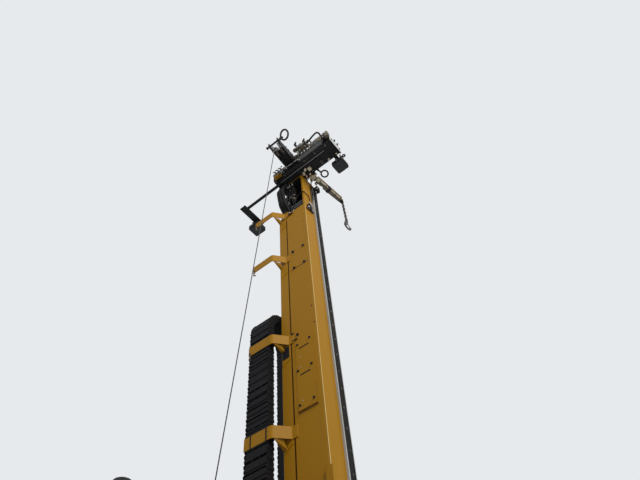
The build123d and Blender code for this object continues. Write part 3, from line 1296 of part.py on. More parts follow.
# Rotary head: a gear case round the spindle with two motors on top
head_half_width = 200
head_front_x = 195
head_high_z = 1430
motor_radius = 70
motor_height = 260
with BuildPart() as rotary_head:
    block(carriage_front_x, head_front_x, -head_half_width, head_half_width, head_low_z, head_high_z)
    chamfer(rotary_head.edges().filter_by(Axis.Z).group_by(Axis.X)[-1], 110)
    with BuildSketch(Plane.XY.offset(head_high_z)) as motors:
        with Locations((-110, 115), (-110, -115)):
            Circle(motor_radius)
    extrude(motors.sketch, amount=motor_height)
    with BuildSketch(Plane.XY.offset(head_low_z - 40)) as nose:
        Circle(spindle_radius + 45)
    extrude(nose.sketch, amount=40)
    with BuildSketch(Plane.XY.offset(head_low_z - 41)) as bore:
        Circle(spindle_radius + fit)
    extrude(bore.sketch, amount=head_high_z - head_low_z + 42, mode=Mode.SUBTRACT)
finish(rotary_head.part, "rotary_head")

# Spindle: a hollow shaft with an adaptor below and a swivel above
spindle_bore_radius = 30
adaptor_radius = 50
with BuildPart() as spindle:
    with BuildSketch(Plane.XZ) as spindle_half:
        with BuildLine():
            Polyline(
                (spindle_bore_radius, spindle_low_z), (adaptor_radius - 8, spindle_low_z),
                (adaptor_radius, spindle_low_z + 20), (adaptor_radius, spindle_low_z + 100),
                (spindle_radius, spindle_low_z + 110), (spindle_radius, head_high_z + 30),
                (spindle_radius - 20, head_high_z + 40), (spindle_radius - 20, head_high_z + 190),
                (spindle_bore_radius, head_high_z + 200), close=True,
            )
        make_face()
    revolve(axis=Axis.Z)
finish(spindle.part, "spindle")
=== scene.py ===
"""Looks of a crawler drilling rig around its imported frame.

The frame gives every solid piece at its real place. This script gives each one its finish, adds the small
fittings that a solid model leaves out, and sets the studio and the camera. Lengths are in metres.
"""

from __future__ import annotations

import json
import logging
import math
import random
from dataclasses import dataclass, field
from enum import Enum
from typing import Iterable, Sequence

import bmesh
import bpy
from mathutils import Matrix, Vector

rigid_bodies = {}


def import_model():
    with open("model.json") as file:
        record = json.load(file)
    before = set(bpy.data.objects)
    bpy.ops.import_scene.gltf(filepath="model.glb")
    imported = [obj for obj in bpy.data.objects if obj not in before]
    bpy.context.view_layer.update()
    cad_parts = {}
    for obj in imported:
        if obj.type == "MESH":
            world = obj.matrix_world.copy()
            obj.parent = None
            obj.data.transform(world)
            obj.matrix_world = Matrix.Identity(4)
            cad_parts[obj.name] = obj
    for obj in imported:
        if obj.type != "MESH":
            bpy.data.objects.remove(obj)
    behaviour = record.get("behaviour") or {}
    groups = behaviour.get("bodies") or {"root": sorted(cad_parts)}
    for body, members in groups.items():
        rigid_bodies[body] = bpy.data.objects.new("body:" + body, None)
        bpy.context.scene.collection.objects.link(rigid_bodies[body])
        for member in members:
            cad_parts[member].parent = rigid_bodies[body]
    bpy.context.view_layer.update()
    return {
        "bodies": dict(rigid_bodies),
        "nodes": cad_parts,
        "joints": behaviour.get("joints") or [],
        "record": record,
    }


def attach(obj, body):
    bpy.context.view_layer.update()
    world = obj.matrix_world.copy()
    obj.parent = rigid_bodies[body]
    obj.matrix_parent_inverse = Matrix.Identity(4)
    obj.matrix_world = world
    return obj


LOG = logging.getLogger("drilling_rig")

Point = Sequence[float]
Colour = tuple[float, float, float]
Places = Sequence[tuple[float, float]]
Tree = bpy.types.NodeTree
Socket = bpy.types.NodeSocket

UP, DOWN = (0, 0, 1), (0, 0, -1)
AHEAD, ASTERN = (1, 0, 0), (-1, 0, 0)
LEFT, RIGHT = (0, 1, 0), (0, -1, 0)
SIDES = (-1, 1)  # right and left, as the sign of Y


@dataclass(frozen=True)
class Noise:
    """Scale, detail and stretch of a noise in metres."""

    scale: float
    detail: float
    stretch: Colour = (1.0, 1.0, 1.0)


CLOUD = Noise(1.3, 6.0, (1.0, 1.0, 0.35))
STREAK = Noise(9.0, 4.0, (1.0, 1.0, 0.05))
SPECK = Noise(55.0, 8.0)
EDGE_RADIUS = 0.006
EDGE_GAIN = 9.0


class Grain(Enum):
    """How the fine relief of a surface runs."""

    SPRAYED = (1.0, 1.0, 1.0)
    CAST = (0.45, 0.45, 0.45)
    DRAWN = (1.0, 1.0, 0.04)
    WOVEN = (0.7, 0.7, 0.7)


class Look(Enum):
    """The finishes that the machine's pieces choose from."""

    YELLOW = "yellow paint"
    BLACK = "black paint"
    GREY = "grey paint"
    OILED = "oiled steel"
    BARE = "bare steel"
    CHROME = "chromed rod"
    PLASTIC = "black plastic"
    RUBBER = "rubber hose"
    RUSTY = "weathered brown steel"
    WIRE = "wire rope"
    LENS = "lamp lens"
    AMBER = "amber lens"
    TAIL = "tail marker"
    GALVANISED = "galvanised steel"
    ZINC = "yellow zinc plating"
    # olive paint of the valves, and painted shade on the jib's underside
    OLIVE = "olive valve paint"
    CREAM = "cream fittings"
    GLASS = "dark glass"
    # pale yellow that paints sunlight on lit faces
    WEATHERED = "yellow with painted sunlight"
    # dark colour of the hood's roof seams, and painted shade in the mast's seam groove
    SEAM_AND_PAINTED_SHADE = "dark seam and painted shade"
    GREASED = "greased rail band"
    # paler yellow painted along a rounded corner as its highlight
    EDGE = "bright paint edge"


@dataclass(frozen=True)
class Finish:
    """A finish with its colours, sheen, relief and wear.

    Attributes:
        colour: Main colour.
        patch: Colour of the large, soft patches that dust and sun leave.
        worn: Colour that shows where edges are rubbed through.
        metallic: How metallic the surface is.
        roughness: Roughness of the cleanest and of the dullest places.
        grain: How the fine relief runs.
        grain_size: Size of the fine relief.
        relief: Height of the fine relief.
        patches: Share of the surface that the patches take.
        edge_wear: How far the edges are rubbed.
        coat: Weight of the clear coat.
        specular: Level of the surface's mirror-like share.
    """

    colour: Colour
    patch: Colour
    worn: Colour = (0.18, 0.17, 0.16)
    metallic: float = 0.0
    roughness: tuple[float, float] = (0.35, 0.6)
    grain: Grain = Grain.SPRAYED
    grain_size: float = 0.006
    relief: float = 0.0004
    patches: float = 0.35
    edge_wear: float = 0.5
    coat: float = 0.0
    specular: float = 0.5

    def material(self, name: str) -> bpy.types.Material:
        """Build the finish as a node material.

        Args:
            name: Name of the material.

        Returns:
            The new material.
        """
        material = bpy.data.materials.new(name)
        material.use_nodes = True
        tree = material.node_tree
        shader = tree.nodes["Principled BSDF"]
        shader.inputs["Metallic"].default_value = self.metallic
        shader.inputs["Coat Weight"].default_value = self.coat
        shader.inputs["Specular IOR Level"].default_value = self.specular
        place = tree.nodes.new("ShaderNodeTexCoord").outputs["Object"]

        cloud, streak, speck = (self._noise(tree, place, noise) for noise in (CLOUD, STREAK, SPECK))
        streaks = self._math(tree, "MULTIPLY", streak, 0.38)
        dust = self._math(tree, "MULTIPLY_ADD", cloud, 0.62, streaks)
        patch = self._ramp(tree, dust, 0.66 - 0.3 * self.patches, 0.80 - 0.1 * self.patches)
        shade = self._mix(tree, patch, self.colour, self.patch)
        freckle = self._ramp(tree, speck, 0.62, 0.76)
        freckle = self._math(tree, "MULTIPLY", freckle, 0.35 * self.patches)
        shade = self._mix(tree, freckle, shade, self.patch)
        shade = self._mix(tree, self._edges(tree, speck, cloud), shade, self.worn)
        tree.links.new(shade, shader.inputs["Base Color"])

        low, high = self.roughness
        rough = self._math(tree, "MULTIPLY_ADD", dust, high - low, low)
        tree.links.new(rough, shader.inputs["Roughness"])

        fine = self._noise(tree, place, Noise(1.0 / self.grain_size, 2.0, self.grain.value))
        bump = tree.nodes.new("ShaderNodeBump")
        bump.inputs["Distance"].default_value = self.relief
        bump.inputs["Strength"].default_value = 0.6
        tree.links.new(fine, bump.inputs["Height"])
        tree.links.new(bump.outputs["Normal"], shader.inputs["Normal"])
        return material

    def _edges(self, tree: Tree, speck: Socket, cloud: Socket) -> Socket:
        """Return a mask of rubbed edges, broken up by noise.

        Args:
            tree: The material's node tree.
            speck: Fine noise.
            cloud: Coarse noise.

        Returns:
            The mask's output socket.
        """
        bevel = tree.nodes.new("ShaderNodeBevel")
        bevel.samples = 3
        bevel.inputs["Radius"].default_value = EDGE_RADIUS
        geometry = tree.nodes.new("ShaderNodeNewGeometry")
        facing = tree.nodes.new("ShaderNodeVectorMath")
        facing.operation = "DOT_PRODUCT"
        tree.links.new(bevel.outputs["Normal"], facing.inputs[0])
        tree.links.new(geometry.outputs["Normal"], facing.inputs[1])
        sharp = self._math(tree, "SUBTRACT", 1.0, facing.outputs["Value"])
        sharp = self._math(tree, "MULTIPLY", sharp, EDGE_GAIN)
        broken = self._math(tree, "ADD", speck, cloud)
        broken = self._ramp(tree, broken, 1.12 - 0.2 * self.edge_wear, 1.22 - 0.2 * self.edge_wear)
        mask = self._math(tree, "MULTIPLY", sharp, broken)
        mask.node.use_clamp = True
        return mask

    @staticmethod
    def _noise(tree: Tree, place: Socket, noise: Noise) -> Socket:
        """Return a noise value in object space."""
        mapping = tree.nodes.new("ShaderNodeMapping")
        mapping.inputs["Scale"].default_value = noise.stretch
        node = tree.nodes.new("ShaderNodeTexNoise")
        node.inputs["Scale"].default_value = noise.scale
        node.inputs["Detail"].default_value = noise.detail
        node.inputs["Roughness"].default_value = 0.6
        tree.links.new(place, mapping.inputs["Vector"])
        tree.links.new(mapping.outputs["Vector"], node.inputs["Vector"])
        return node.outputs["Fac"]

    @staticmethod
    def _math(tree: Tree, operation: str, *values: Socket | float) -> Socket:
        """Return the result of a Math node's operation on sockets and numbers."""
        node = tree.nodes.new("ShaderNodeMath")
        node.operation = operation
        for socket, value in zip(node.inputs, values):
            if isinstance(value, (int, float)):
                socket.default_value = value
            else:
                tree.links.new(value, socket)
        return node.outputs[0]

    @staticmethod
    def _ramp(tree: Tree, value: Socket, low: float, high: float) -> Socket:
        """Return the value stretched so that low becomes 0 and high becomes 1."""
        node = tree.nodes.new("ShaderNodeMapRange")
        node.interpolation_type = "SMOOTHSTEP"
        node.inputs["From Min"].default_value = low
        node.inputs["From Max"].default_value = high
        tree.links.new(value, node.inputs["Value"])
        return node.outputs["Result"]

    @staticmethod
    def _mix(tree: Tree, factor: Socket, first: Socket | Colour, second: Colour) -> Socket:
        """Return two colours or colour sockets mixed by a factor socket."""
        node = tree.nodes.new("ShaderNodeMix")
        node.data_type = "RGBA"
        tree.links.new(factor, node.inputs["Factor"])
        for socket, value in ((node.inputs["A"], first), (node.inputs["B"], second)):
            colour_socket = [s for s in node.inputs if s.name == socket.name and s.type == "RGBA"][0]
            if isinstance(value, tuple):
                colour_socket.default_value = (*value, 1.0)
            else:
                tree.links.new(value, colour_socket)
        return [s for s in node.outputs if s.type == "RGBA"][0]


FINISHES: dict[Look, Finish] = {
    Look.YELLOW: Finish((0.310, 0.146, 0.0015), (0.250, 0.125, 0.006), worn=(0.08, 0.05, 0.025),
                        roughness=(0.42, 0.66), edge_wear=0.35, specular=0.16),
    Look.BLACK: Finish((0.009, 0.009, 0.010), (0.024, 0.022, 0.019), worn=(0.10, 0.09, 0.08),
                       roughness=(0.5, 0.75), edge_wear=0.35, specular=0.2),
    Look.GREASED: Finish((0.012, 0.011, 0.010), (0.030, 0.026, 0.020), worn=(0.10, 0.09, 0.08),
                         roughness=(0.6, 0.85), grain=Grain.DRAWN, patches=0.5, specular=0.12),
    Look.GREY: Finish((0.13, 0.135, 0.14), (0.17, 0.16, 0.14), roughness=(0.4, 0.65)),
    Look.OILED: Finish((0.045, 0.042, 0.04), (0.11, 0.095, 0.075), worn=(0.32, 0.31, 0.3), metallic=0.8,
                       roughness=(0.32, 0.6), grain=Grain.CAST, relief=0.0008, patches=0.6, edge_wear=0.9),
    Look.BARE: Finish((0.42, 0.41, 0.39), (0.24, 0.21, 0.17), worn=(0.55, 0.54, 0.52), metallic=1.0,
                      roughness=(0.22, 0.5), grain=Grain.DRAWN, relief=0.0002),
    Look.CHROME: Finish((0.72, 0.72, 0.73), (0.6, 0.6, 0.6), worn=(0.7, 0.7, 0.7), metallic=1.0,
                        roughness=(0.08, 0.2), relief=0.00005, patches=0.1, edge_wear=0.0),
    Look.PLASTIC: Finish((0.005, 0.005, 0.006), (0.012, 0.011, 0.010), worn=(0.03, 0.03, 0.03),
                         roughness=(0.5, 0.75), grain=Grain.CAST, relief=0.0003, specular=0.15),
    Look.RUBBER: Finish((0.010, 0.010, 0.010), (0.028, 0.026, 0.024), worn=(0.02, 0.02, 0.02),
                        roughness=(0.5, 0.8), grain=Grain.WOVEN, grain_size=0.003, edge_wear=0.0,
                        specular=0.15),
    Look.RUSTY: Finish((0.09, 0.035, 0.018), (0.16, 0.085, 0.045), worn=(0.25, 0.2, 0.16), metallic=0.3,
                       roughness=(0.6, 0.85), grain=Grain.CAST, relief=0.001, patches=0.6),
    Look.WIRE: Finish((0.035, 0.033, 0.032), (0.018, 0.016, 0.014), worn=(0.1, 0.1, 0.1), metallic=0.5,
                      roughness=(0.4, 0.65), grain_size=0.002, edge_wear=0.0),
    Look.LENS: Finish((0.62, 0.65, 0.68), (0.5, 0.5, 0.48), roughness=(0.05, 0.2), coat=1.0,
                      patches=0.1, edge_wear=0.0),
    Look.AMBER: Finish((0.75, 0.23, 0.01), (0.5, 0.18, 0.02), roughness=(0.08, 0.25), coat=1.0,
                       patches=0.1, edge_wear=0.0),
    Look.TAIL: Finish((0.30, 0.01, 0.01), (0.2, 0.02, 0.02), roughness=(0.1, 0.3), coat=1.0,
                      patches=0.1, edge_wear=0.0),
    Look.GALVANISED: Finish((0.40, 0.40, 0.38), (0.27, 0.26, 0.23), worn=(0.5, 0.5, 0.48), metallic=0.2,
                            roughness=(0.52, 0.72), relief=0.0002, patches=0.5),
    Look.ZINC: Finish((0.30, 0.21, 0.07), (0.15, 0.10, 0.05), worn=(0.45, 0.43, 0.38), metallic=0.85,
                      roughness=(0.3, 0.55), patches=0.45, edge_wear=0.8),
    # olive valve paint, also used as painted shade on the jib's underside
    Look.OLIVE: Finish((0.085, 0.068, 0.042), (0.15, 0.13, 0.10), worn=(0.30, 0.28, 0.25), metallic=0.15,
                       roughness=(0.45, 0.7), grain=Grain.CAST, patches=0.5, edge_wear=0.8),
    Look.CREAM: Finish((0.52, 0.45, 0.33), (0.28, 0.22, 0.14), worn=(0.12, 0.1, 0.08), metallic=0.1,
                       roughness=(0.4, 0.65), patches=0.45, edge_wear=0.9),
    Look.GLASS: Finish((0.012, 0.013, 0.015), (0.03, 0.03, 0.03), worn=(0.02, 0.02, 0.02),
                       roughness=(0.18, 0.38), relief=0.00005, patches=0.2, edge_wear=0.0, specular=0.3),
    # dark hood seams, and painted shade in the mast's seam groove
    Look.SEAM_AND_PAINTED_SHADE: Finish((0.030, 0.010, 0.003), (0.020, 0.008, 0.003), worn=(0.03, 0.02, 0.02),
                      roughness=(0.7, 0.9), edge_wear=0.0, specular=0.05),
    # painted highlight: paler yellow that stands in for light caught by a rounded corner
    Look.EDGE: Finish((0.50, 0.33, 0.085), (0.40, 0.24, 0.04), worn=(0.55, 0.42, 0.2),
                      roughness=(0.4, 0.6), patches=0.3, specular=0.3),
    # painted light: pale yellow for the sunlit faces of the yellow jib
    Look.WEATHERED: Finish((0.42, 0.36, 0.26), (0.30, 0.20, 0.06), worn=(0.10, 0.08, 0.06),
                           roughness=(0.55, 0.8), patches=0.6, edge_wear=0.9),
}

SLOT_LOOKS = {
    "painted_yellow": Look.YELLOW, "painted_black": Look.BLACK, "dark_steel": Look.OILED,
    "bare_steel": Look.BARE, "chromed_rod": Look.CHROME, "black_plastic": Look.PLASTIC,
    "rubber_hose": Look.RUBBER, "grey_paint": Look.GREY,
}
NODE_LOOKS = {"hoist_rope": Look.WIRE, "jib_hook": Look.OILED, "guide_rails": Look.GREASED}


@dataclass
class Paintshop:
    """Makes each finish once and hands it out."""

    made: dict[Look, bpy.types.Material] = field(default_factory=dict)

    def material(self, look: Look) -> bpy.types.Material:
        """Return the material of a look, made on first use."""
        if look not in self.made:
            self.made[look] = FINISHES[look].material(look.value.replace(" ", "_"))
        return self.made[look]

    def dress_nodes(self, frame: dict) -> None:
        """Give every solid piece of the frame the finish of its slot.
        """
        slots = {row["node"]: row["material_slot"] for row in frame["record"]["subparts"]}
        for name, node in frame["nodes"].items():
            node.data.materials.clear()
            node.data.materials.append(self.material(NODE_LOOKS.get(name, SLOT_LOOKS[slots[name]])))
        LOG.info("dressed %d solid pieces", len(slots))


@dataclass
class Bench:
    """Gathers shapes into one mesh, each face with its own finish, and sets the piece on its body."""

    shop: Paintshop
    name: str
    looks: list[Look] = field(default_factory=list)
    mesh: bmesh.types.BMesh = field(default_factory=bmesh.new)

    def _finish_faces(self, faces: Iterable[bmesh.types.BMFace], look: Look, smooth: bool = False) -> None:
        """Give new faces their finish.

        Args:
            faces: The faces.
            look: Their finish.
            smooth: Whether they are shaded smooth.
        """
        if look not in self.looks:
            self.looks.append(look)
        index = self.looks.index(look)
        for face in faces:
            face.material_index = index
            face.smooth = smooth

    def block(self, low: Point, high: Point, look: Look, bevel: float = 0.002) -> None:
        """Add an upright block with softened edges between two corners.

        Args:
            low: One corner.
            high: The corner opposite.
            look: Finish of the block.
            bevel: Width of the softened edges.
        """
        made = bmesh.ops.create_cube(self.mesh, size=1.0)["verts"]
        low, high = (Vector(corner) for corner in zip(*(sorted(pair) for pair in zip(low, high))))
        middle = (low + high) / 2
        size = high - low
        for vert in made:
            vert.co = Vector(a * b for a, b in zip(vert.co, size)) + middle
        faces = {face for vert in made for face in vert.link_faces}
        self._finish_faces(faces, look)
        if bevel > 0:
            edges = list({edge for face in faces for edge in face.edges})
            width = min(bevel, min(abs(s) for s in size) * 0.4)
            rounded = bmesh.ops.bevel(self.mesh, geom=edges, offset=width, segments=2, affect="EDGES",
                                      profile=0.6)
            self._finish_faces(rounded["faces"], look, smooth=True)

    def blocks(self, *rows: tuple) -> None:
        """Add several blocks.

        Args:
            rows: What block() takes, for each of them.
        """
        for row in rows:
            self.block(*row)

    def sheet_metal(self, outline: Sequence[Point], along: Point, look: Look,
                    holes: Sequence[Sequence[Point]] = (), bevel: float = 0.0) -> None:
        """Add a flat plate from its outline, with holes cut through it.

        Args:
            outline: Corners of the outline.
            along: Thickness as a vector.
            look: Finish of the plate.
            holes: Corners of each hole.
            bevel: Width of the softened edges.
        """
        edges = []
        for loop in (outline, *holes):
            verts = [self.mesh.verts.new(Vector(p)) for p in loop]
            edges += [self.mesh.edges.new((a, b)) for a, b in zip(verts, verts[1:] + verts[:1])]
        filled = bmesh.ops.triangle_fill(self.mesh, use_beauty=True, use_dissolve=not holes, edges=edges)
        flat = [item for item in filled["geom"] if isinstance(item, bmesh.types.BMFace)]
        grown = bmesh.ops.extrude_face_region(self.mesh, geom=flat, use_keep_orig=True)["geom"]
        moved = [item for item in grown if isinstance(item, bmesh.types.BMVert)]
        bmesh.ops.translate(self.mesh, verts=moved, vec=Vector(along))
        faces = {face for vert in moved for face in vert.link_faces} | set(flat)
        bmesh.ops.recalc_face_normals(self.mesh, faces=list(faces))
        self._finish_faces(faces, look)
        if bevel > 0:
            rim = [edge for edge in {e for f in faces for e in f.edges} if edge.calc_face_angle(0.0) > 0.8]
            rounded = bmesh.ops.bevel(self.mesh, geom=rim, offset=bevel, segments=2, affect="EDGES")
            self._finish_faces(rounded["faces"], look, smooth=True)

    def rod(self, start: Point, end: Point, radius: float, look: Look, end_radius: float | None = None,
            sides: int = 20, chamfer: float = 0.0015) -> None:
        """Add a round or many-sided bar between two points.

        Args:
            start: Middle of its first end.
            end: Middle of its last end.
            radius: Radius at the start.
            look: Finish of the bar.
            end_radius: Radius at the end, the same where it isn't given.
            sides: Number of its sides.
            chamfer: Softening of its end edges.
        """
        start, end = Vector(start), Vector(end)
        last = radius if end_radius is None else end_radius
        axis = (end - start).normalized()
        cut = min(chamfer, min(radius, last) * 0.5, (end - start).length * 0.3)
        rings = [(start, radius - cut), (start + axis * cut, radius), (end - axis * cut, last),
                 (end, last - cut)]
        side = axis.orthogonal().normalized()
        other = axis.cross(side)
        made = [self._ring(centre, side * reach, other * reach, sides) for centre, reach in rings]
        faces = [self.mesh.faces.new(made[0][::-1]), self.mesh.faces.new(made[-1])]
        self._finish_faces(faces, look)
        self._finish_faces(self._skin(made, closed=False), look, smooth=sides > 8)

    def stack(self, foot: Point, axis: Point, *rows: tuple) -> None:
        """Add bars one behind the other on one axis.

        Args:
            foot: Where the axis starts.
            axis: Its direction.
            rows: For each bar where it starts and ends along the axis, and then what rod() takes.
        """
        foot, out = Vector(foot), Vector(axis).normalized()
        for start, end, *rest in rows:
            self.rod(foot + out * start, foot + out * end, *rest)

    def _ring(self, centre: Point, first: Point, second: Point, sides: int) -> list[bmesh.types.BMVert]:
        """Return new points round a centre."""
        return [self.mesh.verts.new(place) for place in arc(centre, first, second, sides)]

    def _skin(self, rings: list[list[bmesh.types.BMVert]], closed: bool) -> list[bmesh.types.BMFace]:
        """Join rings of points to a skin.

        Args:
            rings: Rings with the same number of points.
            closed: Whether the last ring meets the first.

        Returns:
            The new faces.
        """
        faces = []
        pairs = list(zip(rings, rings[1:]))
        if closed:
            pairs.append((rings[-1], rings[0]))
        for one, two in pairs:
            count = len(one)
            for step in range(count):
                after = (step + 1) % count
                faces.append(self.mesh.faces.new((one[step], one[after], two[after], two[step])))
        return faces

    def hose(self, route: Sequence[Point], radius: float, look: Look = Look.RUBBER, sides: int = 12,
             closed: bool = False, steps: int = 8) -> None:
        """Add a hose or a bent bar along a smooth line through a few points.

        Args:
            route: Points that the line passes.
            radius: Radius of the hose.
            look: Finish of the hose.
            sides: Number of its sides.
            closed: Whether the line closes on itself.
            steps: Points for each stretch of the route.
        """
        line = smooth_line([Vector(p) for p in route], steps, closed)
        rings = []
        side = (line[1] - line[0]).orthogonal().normalized()
        for index, point in enumerate(line):
            before = line[index - 1] if index or closed else point
            after = line[(index + 1) % len(line)] if index < len(line) - 1 or closed else point
            ahead = (after - before).normalized()
            side = (side - ahead * side.dot(ahead)).normalized()
            rings.append(self._ring(point, side * radius, ahead.cross(side) * radius, sides))
        if not closed:
            self._finish_faces([self.mesh.faces.new(rings[0][::-1]), self.mesh.faces.new(rings[-1])], look)
        self._finish_faces(self._skin(rings, closed), look, smooth=True)

    def bolt(self, place: Point, axis: Point, across: float = 0.018, look: Look = Look.OILED) -> None:
        """Add a hexagon bolt with its washer.

        Args:
            place: Where the washer lies on its seat.
            axis: Direction out of the seat.
            across: Width over the head.
            look: Finish of the bolt.
        """
        out = Vector(axis).normalized()
        seat = Vector(place)
        self.rod(seat - out * 0.001, seat + out * across * 0.14, across * 0.72, look, sides=16,
                 chamfer=0.0006)
        self.rod(seat + out * across * 0.14, seat + out * across * 0.62, across * 0.56, look, sides=6,
                 chamfer=0.001)

    def bolts(self, places: Iterable[Point], axis: Point, across: float = 0.018,
              look: Look = Look.OILED) -> None:
        """Add a bolt at each place, all facing one way.

        Args:
            places: Where the washers lie.
            axis: Direction out of the seats.
            across: Width over the heads.
            look: Finish of the bolts.
        """
        for place in places:
            self.bolt(place, axis, across, look)

    def weld(self, start: Point, end: Point, radius: float = 0.004, look: Look = Look.YELLOW) -> None:
        """Add a weld bead with its ripples.

        Args:
            start: Its first end.
            end: Its last end.
            radius: Radius of the bead.
            look: Finish that was sprayed over it.
        """
        start, end = Vector(start), Vector(end)
        axis = end - start
        count = max(4, int(axis.length / 0.012))
        side = axis.orthogonal().normalized()
        other = axis.normalized().cross(side)
        rings = []
        for step in range(count * 2 + 1):
            reach = radius * (1.0 if step % 2 else 0.86)
            rings.append(self._ring(start + axis * step / (count * 2), side * reach, other * reach, 6))
        self._finish_faces(self._skin(rings, closed=False), look, smooth=True)

    def set_on(self, body: str) -> None:
        """Turn the gathered shapes into a piece that moves with a body.

        Args:
            body: Name of the body.
        """
        mesh = bpy.data.meshes.new(self.name)
        bmesh.ops.remove_doubles(self.mesh, verts=self.mesh.verts, dist=0.00001)
        self.mesh.to_mesh(mesh)
        self.mesh.free()
        for look in self.looks:
            mesh.materials.append(self.shop.material(look))
        piece = bpy.data.objects.new(self.name, mesh)
        bpy.context.collection.objects.link(piece)
        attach(piece, body)
        LOG.info("%s: %d faces", self.name, len(mesh.polygons))


def arc(centre: Point, first: Point, second: Point, count: int, start: float = 0.0,
        step: float | None = None) -> list[Vector]:
    """Return places on a circle or an oval.

    Args:
        centre: Its middle.
        first: The half axis that the turn starts from.
        second: The half axis a quarter turn further.
        count: Number of places.
        start: Turn of the first place, in degrees.
        step: Degrees between two places, an equal share of the full turn where it isn't given.

    Returns:
        The places.
    """
    centre, first, second = Vector(centre), Vector(first), Vector(second)
    share = 360 / count if step is None else step
    turns = (math.radians(start + share * number) for number in range(count))
    return [centre + first * math.cos(turn) + second * math.sin(turn) for turn in turns]


def flat_axes(first: tuple[float, float], last: tuple[float, float],
              y: float = 0.0) -> tuple[Vector, Vector, Vector]:
    """Return the start, the direction and the upward normal of a line in the plane at Y."""
    start = Vector((first[0], y, first[1]))
    ahead = (Vector((last[0], y, last[1])) - start).normalized()
    return start, ahead, Vector((-ahead.z, 0, ahead.x))


def smooth_line(points: list[Vector], steps: int, closed: bool = False) -> list[Vector]:
    """Return points of a smooth line through the given ones.

    Args:
        points: Points that the line passes.
        steps: Points for each stretch.
        closed: Whether the line closes on itself.

    Returns:
        The line's points.
    """
    count = len(points)
    line = []
    for index in range(count if closed else count - 1):
        if closed:
            a, b, c, d = (points[(index + shift) % count] for shift in (-1, 0, 1, 2))
        else:
            a, b, c, d = (points[min(max(index + shift, 0), count - 1)] for shift in (-1, 0, 1, 2))
        for step in range(steps):
            t = step / steps
            line.append(0.5 * (2 * b + (c - a) * t + (2 * a - 5 * b + 4 * c - d) * t * t
                               + (3 * b - a - 3 * c + d) * t**3))
    if not closed:
        line.append(points[-1])
    return line


